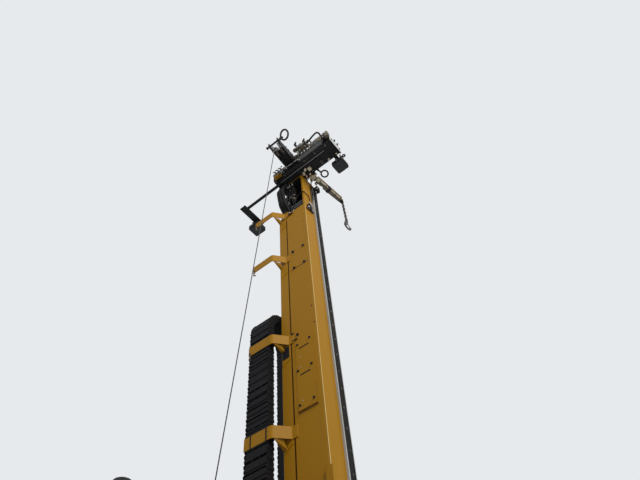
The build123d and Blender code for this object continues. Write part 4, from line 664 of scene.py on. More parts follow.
@dataclass
class MastDress:
    """The mast's small fittings: its bolts, cover plate, weld seams, stop block and bare rail rims, with
    painted shade in its seam groove and slots and a painted highlight along its rear right corner.
    """

    back_x: float = -0.760
    side_y: float = 0.2785
    rail_z: tuple[float, float] = (0.420, 7.960)
    joint_z: float = 5.550
    plate_low: tuple[float, float] = (-0.207, 3.220)
    plate_high: tuple[float, float] = (0.055, 4.160)
    plate_thickness: float = 0.006
    slot_height: float = 0.020
    slots: tuple[tuple[float, float, float], ...] = ((-0.147, 0.009, 4.050), (-0.142, 0.006, 3.665))
    joint_bolts: Places = ((0.008, 5.568), (-0.177, 5.564), (0.017, 5.956), (-0.177, 5.954))
    plate_bolts: Places = (
        (0.024, 4.118), (-0.162, 4.130), (0.031, 3.735), (-0.164, 3.738), (0.028, 3.284), (-0.162, 3.291),
    )
    clamp_bolts: Places = ((0.086, 4.329), (0.015, 4.284))
    holes: Places = ((-0.232, 4.624), (-0.249, 4.331), (-0.226, 6.420), (-0.221, 6.560))
    rivets: Places = ((-0.014, 3.914), (-0.010, 3.771), (-0.013, 3.326))
    rail_bolts: int = 30

    def build(self, shop: Paintshop) -> None:
        """Make the mast's fittings.

        Args:
            shop: Where the finishes come from.
        """
        self._back(Bench(shop, "mast_back_fittings"))
        self._plate(Bench(shop, "mast_cover_plate"))
        self._side(Bench(shop, "mast_side_fittings"))
        self._rims(Bench(shop, "rail_rims"))

    def _back(self, bench: Bench) -> None:
        """Make the bolts, plugs and the welded joint on the mast's back, and the dark strip of painted shade
        in its seam groove.
        """
        x = self.back_x
        for places, across in ((self.joint_bolts, 0.032), (self.clamp_bolts, 0.028)):
            bench.bolts([(x, y, z) for y, z in places], ASTERN, across, Look.BLACK)
        for y, z in self.holes:
            bench.stack((x, y, z), ASTERN, (-0.001, 0.002, 0.011, Look.BLACK, None, 16))
        # dark strip at the bottom of the seam groove: painted shade cast by the overlapping plate
        bench.block((x - 0.0012, 0.109, self.rail_z[0]), (x, 0.125, 6.900), Look.SEAM_AND_PAINTED_SHADE, 0)
        # weld bead on the plate joint; its dark brown is partly rust and partly painted shade of the joint's
        # gap
        bench.weld((x, 0.074, self.joint_z), (x, -0.240, self.joint_z), 0.0045, Look.RUSTY)
        bench.blocks(
            ((x - 0.012, 0.020, 4.215), (x, 0.104, 4.228), Look.BLACK, 0.001),
            ((x - 0.010, 0.150, 4.010), (x, 0.256, 4.180), Look.BLACK),
        )
        for y in (0.168, 0.203, 0.238):
            bench.block((x - 0.018, y - 0.006, 4.020), (x - 0.010, y + 0.006, 4.170), Look.PLASTIC)
        for y in (0.150, 0.180):
            bench.block((x - 0.022, y - 0.012, 6.955), (x, y + 0.012, 7.035), Look.YELLOW)
            bench.bolt((x - 0.022, y, 6.995), ASTERN, 0.018, Look.BARE)
        bench.block((x - 0.030, -0.020, 7.000), (x, 0.060, 7.034), Look.RUSTY)
        bench.bolt((x - 0.030, 0.020, 7.017), ASTERN, 0.020, Look.BARE)
        bench.set_on("mast")

    def _plate(self, bench: Bench) -> None:
        """Make the slotted cover plate with its folded lower lip, and black sheets of painted shade at the
        bottom of its slots.
        """
        (low_y, low_z), (high_y, high_z) = self.plate_low, self.plate_high
        x = self.back_x
        half = self.slot_height / 2
        cuts = []
        for y_low, y_high, z in self.slots:
            ring = []
            for y, start in ((y_low + half, 90), (y_high - half, -90)):
                ring += arc((x, y, z), (0, half, 0), (0, 0, half), 9, start, 22.5)
            cuts.append(ring)
            # black sheet at the bottom of each slot: painted shade inside the slot
            bench.block((x - 0.0012, y_low - 0.004, z - half - 0.004), (x, y_high + 0.004, z + half + 0.004),
                        Look.BLACK, 0)
        outline = [(x, low_y, low_z), (x, high_y, low_z), (x, high_y, high_z), (x, low_y, high_z)]
        bench.sheet_metal(outline, (-self.plate_thickness, 0, 0), Look.YELLOW, cuts)
        face = x - self.plate_thickness
        bench.bolts([(face, y, z) for y, z in self.plate_bolts], ASTERN, 0.022, Look.BLACK)
        for y, z in self.rivets:
            bench.stack((face, y, z), ASTERN, (0, 0.003, 0.006, Look.BARE))
        lip = low_z - 0.006
        bench.blocks(
            ((x - 0.020, low_y, lip - 0.005), (x, high_y, lip), Look.YELLOW, 0.001),
            ((x - 0.006, low_y, lip - 0.018), (x, high_y, lip - 0.012), Look.RUSTY, 0.001),
        )
        bench.set_on("mast")

    def _side(self, bench: Bench) -> None:
        """Make the stop block, the thin hose and the paler yellow strip along the rear corner of the mast's
        right side, which is a painted highlight.
        """
        y = -self.side_y
        bench.blocks(
            # paler yellow strip on the rear corner: a painted highlight of the light on the rounded edge
            ((-0.7602, y - 0.0012, self.rail_z[0]), (-0.7470, y, 7.050), Look.EDGE, 0),
            ((-0.705, y - 0.044, 6.960), (-0.600, y, 7.060), Look.BLACK, 0.004),
            ((-0.730, y - 0.026, 6.930), (-0.660, y, 6.968), Look.RUSTY, 0.003),
            ((-0.690, y - 0.052, 7.060), (-0.640, y - 0.004, 7.092), Look.BLACK, 0.004),
        )
        bench.rod((-0.690, y - 0.050, 7.130), (-0.600, y - 0.050, 7.040), 0.011, Look.GALVANISED)
        bench.bolts([(x, y - 0.040, 6.960) for x in (-0.705, -0.610)], RIGHT, 0.024, Look.BARE)
        bench.bolt((-0.655, y - 0.040, 7.005), RIGHT, 0.024)
        bench.rod((-0.565, y - 0.016, 6.985), (-0.565, y - 0.016, 7.170), 0.008, Look.BARE)
        bench.block((-0.585, y - 0.030, 6.960), (-0.545, y, 6.990), Look.OILED)
        bench.hose([
            (-0.735, -0.060, 7.300), (-0.745, -0.120, 7.420), (-0.755, -0.200, 7.470),
            (-0.770, -0.285, 7.420), (-0.715, -0.297, 7.400), (-0.650, -0.297, 7.420),
            (-0.615, -0.295, 7.330), (-0.610, -0.292, 7.190), (-0.640, -0.296, 7.085),
        ], 0.008)
        bench.set_on("mast")

    def _rims(self, bench: Bench) -> None:
        """Make the bare, rubbed rims of the two guide rails and their bolts."""
        low_z, high_z = self.rail_z
        for side in SIDES:
            face = side * self.side_y
            for low, high in ((-0.461, -0.448), (-0.345, -0.334)):
                bench.block((low, face, low_z), (high, face + side * 0.0015, high_z), Look.GALVANISED, 0)
            bench.block((-0.4625, side * 0.2380, low_z), (-0.461, face, high_z), Look.GALVANISED, 0)
            for step in range(self.rail_bolts):
                z = 0.600 + 7.100 * step / (self.rail_bolts - 1)
                bench.stack((-0.395, face, z), (0, side, 0), (0, 0.004, 0.012, Look.OILED, None, 16))
        bench.set_on("mast")


@dataclass
class BracketDress:
    """Gussets, straps, tags and pins of the four bent bars that hold the energy chain and the hoses."""

    heights: tuple[float, ...] = (3.020, 4.265, 5.865, 7.060)
    bar_height: float = 0.140
    mast_x: float = -0.760
    bar_x: float = -0.935
    web_y: float = 0.262
    foot: tuple[float, float] = (0.136, 0.252)

    def build(self, shop: Paintshop) -> None:
        """Make the fittings of every bracket.

        Args:
            shop: Where the finishes come from.
        """
        bench = Bench(shop, "bracket_fittings")
        x = self.mast_x - 0.002
        for number, z in enumerate(self.heights):
            self._gusset(bench, z - self.bar_height / 2, number)
            bench.weld((x, 0.076, z - 0.068), (x, 0.076, z + 0.068), 0.005)
            if number == 0:
                for y in (0.347, 0.561):
                    self._strap(bench, y, z)
            else:
                self._hook(bench, z - self.bar_height / 2)
        bench.set_on("mast")

    def _gusset(self, bench: Bench, low: float, number: int) -> None:
        """Make the web under a bar and the plate on the mast that it is welded to."""
        drop, depth = (0.060, 0.290) if number else (0.080, 0.120)
        reach = self.bar_x + 0.022
        x, y = self.mast_x, self.web_y
        inner, outer = self.foot
        bottom = low - depth
        for outline, along in (
            ([(reach, y, low), (x, y, low), (x, y, low - drop)], (0, 0.008, 0)),
            ([(reach, y, low - 0.001), (x, y, low - drop - 0.001), (x, 0.215, low - drop - 0.001),
              (x - 0.060, 0.215, low - 0.001)], (0, 0, -0.004)),
            ([(x, outer, low), (x, inner, low), (x, inner, bottom + 0.075), (x, outer, bottom)],
             (-0.006, 0, 0)),
        ):
            bench.sheet_metal(outline, along, Look.YELLOW)
        bench.weld((x - 0.007, y + 0.004, low - 0.004), (x - 0.007, y + 0.004, low - drop), 0.005)
        bench.weld((x, inner, low - 0.002), (x, inner, bottom + 0.077), 0.0035)

    def _strap(self, bench: Bench, y: float, z: float) -> None:
        """Make a dark strap round the bar at one place."""
        half = self.bar_height / 2 + 0.004
        back, front = self.bar_x - 0.009, self.bar_x + 0.009
        bench.block((back, y - 0.007, z - half), (back + 0.004, y + 0.007, z + half), Look.PLASTIC, 0.001)
        for level in (z + half, z - half):
            bench.block((back, y - 0.007, level - 0.002), (front, y + 0.007, level + 0.002), Look.PLASTIC,
                        0.001)

    def _hook(self, bench: Bench, low: float) -> None:
        """Make the small hook at a bar's free end, which keeps the hoist rope off the bar."""
        x = self.bar_x
        bench.hose([(x, 0.628, low + 0.020), (x, 0.632, low - 0.020), (x - 0.006, 0.640, low - 0.055),
                    (x - 0.004, 0.622, low - 0.078), (x, 0.600, low - 0.070)], 0.008, Look.OILED)
        bench.rod((x - 0.005, 0.628, low + 0.030), (x - 0.020, 0.628, low + 0.030), 0.012, Look.OILED)


@dataclass
class ChainDress:
    """Cross slats and link plates of the energy chain's rear strand, bend and front strand."""

    rear_x: float = -0.930
    front_x: float = -0.330
    top_z: float = 4.850
    radius: float = 0.300
    low_y: float = 0.335
    high_y: float = 0.635
    rear_low_z: float = 2.420
    front_low_z: float = 1.930
    pitch: float = 0.0520
    depth: float = 0.086
    slat_height: float = 0.024
    slat_proud: float = 0.007

    def _path(self) -> list[tuple[Vector, Vector]]:
        """Return places along the chain's outer line with the direction out of the chain."""
        centre = Vector(((self.rear_x + self.front_x) / 2, 0.0, self.top_z - self.radius))
        bend = math.pi * self.radius
        rear = centre.z - self.rear_low_z
        front = centre.z - self.front_low_z
        places = []
        for step in range(int((rear + bend + front) / self.pitch)):
            s = step * self.pitch
            if s < rear:
                places.append((Vector((self.rear_x, 0, self.rear_low_z + s)), Vector(ASTERN)))
            elif s < rear + bend:
                turn = math.pi - (s - rear) / self.radius
                out = Vector((math.cos(turn), 0, math.sin(turn)))
                places.append((centre + out * self.radius, out))
            else:
                places.append((Vector((self.front_x, 0, centre.z - (s - rear - bend))), Vector(AHEAD)))
        return places

    def build(self, shop: Paintshop) -> None:
        """Make the slats and link plates.

        Args:
            shop: Where the finishes come from.
        """
        bench = Bench(shop, "energy_chain_links")
        middle = (self.low_y + self.high_y) / 2
        for index, (place, out) in enumerate(self._path()):
            if index % 2 == 0:
                self._bar(bench, place, out, (self.low_y + 0.012, self.high_y - 0.012), self.slat_height)
            self._links(bench, place, out, index)
            if index % 2 == 0:
                for low, high in ((-0.055, -0.046), (0.046, 0.055)):
                    self._bar(bench, place - out * 0.004, out, (middle + low, middle + high),
                              self.pitch * 1.6)
        bench.set_on("mast")

    def _bar(self, bench: Bench, place: Vector, out: Vector, span: tuple[float, float],
             height: float) -> None:
        """Make a bar across the chain at one place."""
        along = Vector((-out.z, 0, out.x)) * height / 2
        inner, outer = place - out * 0.002, place + out * self.slat_proud
        corners = [inner - along, outer - along * 0.7, outer + along * 0.7, inner + along]
        bench.sheet_metal([(c.x, span[0], c.z) for c in corners], (0, span[1] - span[0], 0), Look.PLASTIC)

    def _links(self, bench: Bench, place: Vector, out: Vector, index: int) -> None:
        """Make the two rounded link plates beside one place, with their pin heads."""
        along = Vector((-out.z, 0, out.x)) * self.pitch * 0.46
        shift = 0.004 if index % 2 else 0.0
        outline = arc(place - out * 0.002, along, out * 0.013, 7, step=30)
        outline += arc(place - out * (self.depth - 0.002), -along, out * -0.013, 7, step=30)
        for low, high in ((self.low_y - 0.004 - shift, self.low_y + 0.002),
                          (self.high_y - 0.002, self.high_y + 0.004 + shift)):
            bench.sheet_metal([(c.x, low, c.z) for c in outline], (0, high - low, 0), Look.PLASTIC)
        centre = place - out * self.depth / 2
        for y, side in ((self.low_y - 0.004, RIGHT), (self.high_y + 0.004, LEFT)):
            bench.stack((centre.x, y, centre.z), side, (0, 0.006, 0.009, Look.PLASTIC, None, 10))


@dataclass
class CrownDress:
    """Fittings, hoses and plates on the crown beam, the sheave arm and the open mast head."""

    rear_x: float = -0.970
    front_x: float = -0.650
    low_z: float = 8.060
    right_y: float = -1.094
    slot_x: float = -0.852
    slot_y: tuple[float, float] = (-0.884, 0.188)
    valve_x: float = -1.074
    valve_z: float = 8.168
    arm_y: float = -0.232
    arm_z: float = 8.260
    tip_x: float = -1.481
    floor_z: float = 7.062  # of the open head

    def build(self, shop: Paintshop) -> None:
        """Make the crown's pieces.

        Args:
            shop: Where the finishes come from.
        """
        self._plates(Bench(shop, "crown_plates"))
        self._fittings(Bench(shop, "crown_hose_fittings"))
        self._loops(Bench(shop, "crown_hose_loops"))
        self._arm(Bench(shop, "sheave_arm_fittings"))
        self._head(Bench(shop, "mast_head_hoses_and_painted_shade"))
        self._root(Bench(shop, "jib_root_fittings"))

    def _plates(self, bench: Bench) -> None:
        """Make the slot's rubbed rims, the end cover, the lug, the rear pipe and the beam's bolts."""
        low, high = self.slot_y
        z = self.low_z
        bench.block((self.slot_x - 0.030, low, z - 0.003), (self.slot_x - 0.014, high, z), Look.GREY, 0)
        y = self.right_y
        cover = ((-0.984, 8.050), (-0.636, 8.050), (-0.636, 8.200), (-0.660, 8.224), (-0.960, 8.224),
                 (-0.984, 8.200))
        bench.sheet_metal([(x, y, z) for x, z in cover], (0, -0.004, 0), Look.GALVANISED, bevel=0.001)
        bench.bolts([(x, y - 0.004, 8.135) for x in (-0.930, -0.690)], RIGHT, 0.024)
        x = self.rear_x - 0.016
        lug = ((0.020, 8.060), (0.172, 8.060), (0.172, 8.120), (0.130, 8.190), (0.020, 8.190))
        bench.sheet_metal([(x, y, z) for y, z in lug], (0.014, 0, 0), Look.YELLOW, bevel=0.001)
        bench.blocks(
            ((-1.050, 0.050, 8.078), (x, 0.140, 8.092), Look.YELLOW),
            ((-1.050, 0.050, 8.010), (-1.038, 0.140, 8.092), Look.YELLOW),
        )
        bench.bolt((-1.050, 0.095, 8.045), ASTERN, 0.026)
        bench.hose([(-0.985, 0.010, 8.106), (-1.026, -0.010, 8.104), (-1.036, -0.120, 8.098),
                    (-1.033, -0.260, 8.096), (-1.030, -0.390, 8.098), (-0.985, -0.430, 8.104)],
                   0.008, Look.BARE)
        for y in (-0.080, -0.300):
            bench.block((-1.046, y - 0.014, 8.082), (self.rear_x, y + 0.014, 8.112), Look.PLASTIC)
        bench.bolts([(x, y, z) for y in (0.180, -0.020, -0.480, -0.720, -0.960) for x in (-0.940, -0.690)],
                    DOWN, 0.024)
        bench.bolts([(self.front_x, y, 8.135) for y in (-0.560, -0.700, -0.840, -0.980)], AHEAD, 0.026)
        x, z = self.rear_x + 0.034, z - 0.001
        bench.weld((x, -1.078, z), (x, 0.216, z), 0.003, Look.BLACK)
        bench.set_on("mast")

    @staticmethod
    def _adapter(bench: Bench, place: Point, out: Point, look: Look, size: float = 0.018) -> Vector:
        """Make a hose adapter out of a hexagon, a collar and a crimped sleeve.

        Args:
            bench: Where it is gathered.
            place: Its foot.
            out: Its direction.
            look: Finish of its metal.
            size: Radius of the hexagon.

        Returns:
            The sleeve's open end.
        """
        bench.stack(
            place, out, (-0.002, size, size, look, None, 6), (size, size * 1.3, size * 0.72, Look.OILED),
            (size * 1.3, size * 2.1, size * 0.88, look, None, 6),
            (size * 2.1, size * 4.0, size * 0.78, Look.BARE),
        )
        return Vector(place) + Vector(out).normalized() * size * 4.0

    def _fittings(self, bench: Bench) -> None:
        """Make the adapters, valve caps and short hoses on the crown's rear and top."""
        rng = random.Random(7)
        metals = (Look.ZINC, Look.OILED, Look.BARE, Look.ZINC, Look.OILED)
        rear = [-0.900 + 0.062 * step for step in range(9)] + [-0.060, 0.002, 0.064, 0.126]
        for index, y in enumerate(rear):
            look = metals[index % len(metals)]
            place = (self.valve_x, y, self.valve_z)
            if index % 3 != 2 and -0.740 < y < -0.150:
                self._short_hose(bench, self._adapter(bench, place, (-1, 0, 0.15), look, 0.016), y, rng)
            else:
                bench.stack(place, ASTERN, (0, 0.012, 0.018, look, None, 6), (0.012, 0.018, 0.009, look))
        for y in (-0.850, -0.730, -0.620, -0.410, -0.020, 0.080):
            bench.block((-0.968, y - 0.036, 8.208), (-0.898, y + 0.036, 8.262),
                        rng.choice((Look.OLIVE, Look.GREY)), 0.004)
            bench.bolts([(-0.950 + rise / 2, y + rise, 8.262) for rise in (-0.020, 0.020)], UP, 0.014)
            bench.stack((-0.918, y, 8.262), UP, (0, 0.014, 0.016, rng.choice(metals), None, 6))
        self._motor(bench)
        self._blocks(bench)
        bench.block((-1.060, -0.470, 8.205), (-1.000, -0.300, 8.225), Look.OLIVE)
        for y in (-0.450, -0.400, -0.350):
            self._adapter(bench, (-1.035, y, 8.225), (-0.2, 0, 1), Look.ZINC, 0.014)
        for x, y in ((-0.683, -1.022), (-0.610, -1.052)):
            bench.block((x - 0.020, y - 0.016, 8.030), (x + 0.020, y + 0.016, 8.062), Look.CREAM, 0.003)
            bench.bolt((x, y, 8.030), DOWN, 0.022, Look.BARE)
        bench.hose(arc((-0.574, -1.100, 8.040), (0.020, 0.004, 0.0), (0.0, 0.026, 0.006), 12), 0.013,
                   closed=True, steps=3)
        bench.rod((-0.700, -0.862, 8.062), (-0.664, -0.832, 8.052), 0.016, Look.CREAM)
        bench.block((-0.765, -0.745, 8.036), (-0.700, -0.690, 8.062), Look.OILED, 0.004)
        for x, y, z in ((-0.834, -1.100, 8.222), (-0.740, -1.098, 8.222), (-0.930, -1.020, 8.208)):
            bench.rod((x, y, z), (x + 0.006, y - 0.010, z + 0.046), 0.015, Look.BLACK, sides=8)
            bench.rod((x, y, z), (x + 0.002, y - 0.003, z + 0.014), 0.022, Look.OILED, sides=6)
        bench.block((-0.965, -1.070, 8.205), (-0.900, -0.960, 8.246), Look.OLIVE, 0.004)
        bench.stack((-0.935, -0.960, 8.226), LEFT, (0, 0.030, 0.016, Look.ZINC, None, 6))
        bench.set_on("mast")

    @staticmethod
    def _motor(bench: Bench) -> None:
        """Make the grey motor block on the crown's rear, with its two round caps and its bracket."""
        bench.block((-1.170, -0.610, 8.205), (-1.050, -0.480, 8.292), Look.GREY, 0.008)
        bench.stack((-1.135, -0.470, 8.250), LEFT, (0, 0.055, 0.038, Look.OLIVE),
                    (0.055, 0.070, 0.026, Look.BARE, None, 6))
        for x, y in ((-1.185, -0.500), (-1.140, -0.660)):
            bench.rod((x, y, 8.262), (x - 0.022, y, 8.318), 0.020, Look.BLACK)
            bench.rod((x - 0.040, y - 0.032, 8.318), (x - 0.004, y + 0.032, 8.330), 0.016, Look.BLACK,
                      sides=10)
        bench.blocks(
            ((-1.165, -0.700, 8.205), (-1.072, -0.620, 8.262), Look.OLIVE, 0.004),
            ((-1.170, -0.705, 8.190), (-1.050, -0.480, 8.205), Look.OLIVE),
            ((-1.080, -0.696, 8.110), (-1.050, -0.684, 8.200), Look.OLIVE),
            ((-1.080, -0.506, 8.110), (-1.050, -0.494, 8.200), Look.OLIVE),
        )
        bench.bolts([(-1.170, y, 8.270) for y in (-0.585, -0.505)], ASTERN, 0.018, Look.BARE)

    @staticmethod
    def _blocks(bench: Bench) -> None:
        """Make the row of valve bodies along the crown's rear top edge, towards its right end."""
        looks = (Look.OLIVE, Look.GREY, Look.OLIVE, Look.BLACK, Look.OLIVE)
        for index, y in enumerate((-0.750, -0.835, -0.920, -1.005, -1.068)):
            top = 8.300 + 0.014 * (index % 2)
            bench.block((-1.052, y - 0.039, 8.150), (-0.985, y + 0.039, top), looks[index], 0.005)
            bench.stack((-1.052, y, 8.225), ASTERN, (0, 0.016, 0.020, Look.ZINC, None, 6),
                        (0.016, 0.030, 0.013, Look.BARE))
            bench.stack((-1.018, y, top), UP, (0, 0.016, 0.018, looks[(index + 1) % 5], None, 6))
            bench.bolts([(x, y + 0.020, top) for x in (-1.040, -0.998)], UP, 0.012, Look.BARE)
            bench.block((-1.055, y - 0.012, 8.168), (-1.052, y + 0.012, 8.192), Look.GALVANISED, 0)
        bench.block((-1.052, -1.096, 8.300), (-0.940, -1.040, 8.316), Look.OLIVE, 0.003)
        bench.stack((-1.030, -1.070, 8.316), UP, (0, 0.014, 0.020, Look.BLACK))
        bench.rod((-0.985, -0.700, 8.238), (-0.985, -1.040, 8.244), 0.010, Look.BARE)

    @staticmethod
    def _short_hose(bench: Bench, start: Vector, y: float, rng: random.Random) -> None:
        """Make a short hose from a rear adapter over the valve blocks to the crown's top."""
        reach = 0.030 + 0.020 * rng.random()
        shift = rng.choice((-0.060, 0.060))
        bench.hose([
            start + Vector((0.012, 0, 0)), start + Vector((-reach * 0.5, shift * 0.2, 0.004)),
            start + Vector((-reach * 0.5, shift * 0.6, 0.036)),
            (-1.060, y + shift * 0.9, 8.236 + reach * 0.3), (-1.000, y + shift, 8.240),
            (-0.985, y + shift, 8.205),
        ], 0.012)

    def _loops(self, bench: Bench) -> None:
        """Make the hose loops that stand over the arm's tip, the crown's rear and beside the jib."""
        bench.hose(arc((-1.490, -0.484, 8.262), (0, 0.014, 0.232), (0, -0.084, -0.046), 12), 0.017,
                   closed=True, steps=4)
        bench.stack((self.tip_x, -0.415, 8.235), LEFT, (0, 0.065, 0.024, Look.OILED, None, 6))
        bench.rod((-1.486, -0.440, 8.228), (-1.483, -0.400, 8.235), 0.020, Look.BLACK)
        bench.hose([
            (-1.075, -0.650, 8.262), (-1.074, -0.690, 8.345), (-1.090, -0.770, 8.365),
            (-1.110, -0.850, 8.360), (-1.117, -0.925, 8.352), (-1.085, -0.955, 8.348),
            (-1.035, -0.950, 8.335), (-1.018, -0.925, 8.290),
        ], 0.016)
        bench.hose(arc((-0.530, -0.628, 7.995), (0.058, 0.020, -0.013), (-0.020, 0.060, 0.004), 12), 0.0145,
                   closed=True, steps=4)
        bench.hose([(-0.578, -0.600, 8.000), (-0.612, -0.580, 8.028), (-0.640, -0.560, 8.075)], 0.0145)
        bench.rod((-0.655, -0.552, 8.095), (-0.628, -0.566, 8.058), 0.020, Look.BLACK, sides=6)
        bench.set_on("mast")

    def _arm(self, bench: Bench) -> None:
        """Make the arm's edge strips, end caps and pin heads, and the rollers that keep the rope in place."""
        middle, z, tip = self.arm_y, self.arm_z, self.tip_x
        for y in (middle - 0.097, middle + 0.097):
            bench.block((-1.430, y - 0.009, 8.198), (-1.000, y + 0.009, 8.202), Look.GALVANISED, 0.001)
        for y in (-0.176, -0.292):
            bench.block((-1.470, y - 0.020, 8.206), (-1.405, y + 0.020, 8.222), Look.GALVANISED)
        low = [(-1.345, -0.326, 8.204), (-0.975, -0.326, 8.204), (-0.975, -0.138, 8.204),
               (-1.345, -0.138, 8.204)]
        bench.sheet_metal(low, (0, 0, 0.004), Look.BLACK)
        for side in SIDES:
            y, out = middle + side * 0.105, (0, side, 0)
            for x, radius, across in ((-1.290, 0.034, 0.030), (-1.100, 0.018, 0.020), (-0.900, 0.018, 0.020)):
                bench.stack((x, y, z), out, (0, 0.010, radius, Look.OILED))
                bench.bolt((x, y + side * 0.010, z), out, across, Look.BARE)
            bench.stack((tip, middle + side * 0.165, z), out, (-0.020, 0.004, 0.026, Look.BLACK))
            bench.stack((tip, middle + side * 0.115, z), (0, -side, 0), (0, 0.006, 0.024, Look.BARE))
            bench.block((-1.000, y - 0.005, 8.215), (-0.990, y + side * 0.040, 8.300), Look.BLACK)
        for x, height in ((-1.060, 8.230), (-1.010, 8.205)):
            bench.bolt((x, -0.345, height), RIGHT, 0.024, Look.GALVANISED)
        for x, height, low_z in ((-1.400, 8.150, 8.150), (-1.180, 8.345, 8.312)):
            bench.rod((x, -0.329, height), (x, -0.135, height), 0.007, Look.BARE)
            for y in (-0.332, -0.132):
                bench.block((x - 0.014, y - 0.004, low_z), (x + 0.014, y + 0.004, low_z + 0.046), Look.BLACK,
                            0.001)
        bench.set_on("mast")

    def _head(self, bench: Bench) -> None:
        """Make the thin hoses, couplings and clamps in the open head, over the box's floor, and the thin
        black sheets that line its inside as painted shade.
        """
        floor, roof = self.floor_z, self.low_z
        for y, drop in ((0.030, 0.33), (-0.030, 0.24), (0.075, 0.42)):
            x = -0.735
            bench.stack((x, y, roof), DOWN, (0, 0.040, 0.019, Look.BARE, None, 6),
                        (0.040, 0.100, 0.015, Look.GALVANISED))
            bench.hose([(x, y, 7.965), (x - 0.010, y, 7.800), (x - 0.014, y + 0.010, 7.800 - drop),
                        (x + 0.004, y, 7.330), (x + 0.008, y, 7.200), (x, y, floor)], 0.010)
            bench.stack((x, y, floor), UP, (0, 0.048, 0.016, Look.GALVANISED, None, 6))
        for y in (0.080, 0.137, 0.194):
            bench.stack((-0.690, y, floor), UP, (0, 0.018, 0.0275, Look.OILED, None, 6),
                        (0.018, 0.063, 0.0275, Look.OILED))
            bench.stack((-0.800, y, roof), DOWN, (0, 0.015, 0.0275, Look.OILED, None, 6),
                        (0.015, 0.060, 0.0275, Look.OILED))
        # thin black sheets on the head's inner walls, under its roof and over its floor: painted shade of the
        # open box's inside
        low, high = floor + 0.001, roof - 0.002
        for start, end in (
            ((-0.4045, -0.2225, low), (-0.4022, 0.2225, high)),
            ((-0.7590, -0.2664, low), (-0.5660, -0.2640, high)),
            ((-0.5530, -0.2229, low), (-0.4050, -0.2205, high)),
            ((-0.5530, 0.2205, low), (-0.4050, 0.2229, high)),
            ((-0.7580, -0.2100, 8.0414), (-0.4060, 0.2200, 8.0440)),
            ((-0.5700, -0.2680, low), (-0.5668, -0.2200, high)),
            ((-0.5700, 0.2200, low), (-0.5668, 0.2680, high)),
            ((-0.7175, -0.2640, low), (-0.7152, 0.0400, 7.310)),
            ((-0.7000, -0.2200, 7.0622), (-0.4050, 0.2200, 7.0640)),
        ):
            bench.block(start, end, Look.BLACK, 0)
        for z in (7.110, 7.205, 7.270):
            bench.block((-0.724, -0.262, z - 0.006), (-0.7175, 0.030, z + 0.006), Look.GREY, 0.001)
        bench.blocks(
            ((-0.700, -0.055, 7.640), (-0.625, 0.065, 7.930), Look.OILED, 0.006),
            ((-0.680, -0.035, 7.930), (-0.645, 0.045, 8.062), Look.BLACK),
        )
        bench.bolts([(-0.700, y, z) for y in (-0.030, 0.040) for z in (7.905, 7.665)], ASTERN, 0.022,
                    Look.BARE)
        bench.stack((-0.662, 0.005, 7.640), DOWN, (0, 0.080, 0.038, Look.OLIVE))
        for y in (0.120, 0.150):
            bench.stack((-0.650, y, roof), DOWN, (0, 0.410, 0.010, Look.RUBBER),
                        (0.410, 0.500, 0.014, Look.GALVANISED), (0.500, 0.998, 0.010, Look.RUBBER))
        bench.bolts([(-0.722, y, z) for z in (7.110, 7.270) for y in (-0.240, 0.010)], ASTERN, 0.014,
                    Look.BARE)
        bench.block((-0.668, -0.205, floor), (-0.600, -0.110, 7.150), Look.GREY, 0.004)
        for y in (-0.185, -0.130):
            self._adapter(bench, (-0.634, y, 7.150), UP, Look.ZINC, 0.013)
        bench.set_on("mast")

    @staticmethod
    def _root(bench: Bench) -> None:
        """Make the pale couplings under the crown's front where hoses reach the jib's root."""
        spots = (
            (-0.813, -0.405, 0.021), (-0.775, -0.337, 0.023), (-0.687, -0.416, 0.017),
            (-0.644, -0.326, 0.015), (-0.611, -0.478, 0.018), (-0.560, -0.350, 0.016),
            (-0.448, -0.372, 0.018), (-0.700, -0.340, 0.014),
        )
        for index, (x, y, size) in enumerate(spots):
            bench.block((x - 0.022, y - 0.022, 8.030), (x + 0.022, y + 0.022, 8.064), Look.BLACK)
            bench.stack(
                (x, y, 8.031), (0.25 if index % 2 else -0.1, 0.12 - 0.1 * (index % 3), -1.0),
                (0, size, size * 1.25, Look.CREAM, None, 6), (size, size * 1.3, size * 0.8, Look.OILED),
                (size * 1.3, size * 2.4, size * 1.05, Look.CREAM),
            )
        bench.blocks(
            ((-0.806, -0.500, 8.004), (-0.742, -0.440, 8.062), Look.CREAM, 0.004),
            ((-0.650, -0.448, 7.988), (-0.556, -0.362, 8.030), Look.CREAM, 0.005),
            ((-0.530, -0.470, 7.996), (-0.462, -0.420, 8.050), Look.CREAM, 0.004),
            ((-0.530, -0.470, 8.050), (-0.462, -0.420, 8.064), Look.BLACK),
            ((-0.410, -0.360, 8.012), (-0.330, -0.235, 8.026), Look.BLACK),
        )
        for x in (-0.636, -0.603, -0.570):
            for y in (-0.432, -0.405, -0.378):
                bench.stack((x, y, 7.988), DOWN, (0, 0.003, 0.008, Look.RUSTY, None, 8))
        bench.hose([(-0.744, -0.470, 8.020), (-0.712, -0.480, 8.004), (-0.680, -0.462, 8.000),
                    (-0.648, -0.430, 8.008)],
                   0.009, Look.BLACK)
        bench.stack((-0.365, -0.338, 8.012), DOWN, (0.042, 0.142, 0.034, Look.BLACK),
                    (0, 0.042, 0.024, Look.CREAM, None, 8))
        bench.stack((-0.398, -0.338, 7.940), ASTERN, (0, 0.012, 0.020, Look.GALVANISED, None, 6))
        bench.hose([(-0.365, -0.338, 7.872), (-0.372, -0.336, 7.820), (-0.420, -0.312, 7.770),
                    (-0.470, -0.291, 7.710), (-0.500, -0.288, 7.640)], 0.009)
        bench.hose([(-0.600, -0.375, 8.000), (-0.560, -0.330, 7.940), (-0.500, -0.295, 7.860),
                    (-0.486, -0.289, 7.700), (-0.486, -0.287, 7.500)], 0.009)
        bench.set_on("mast")


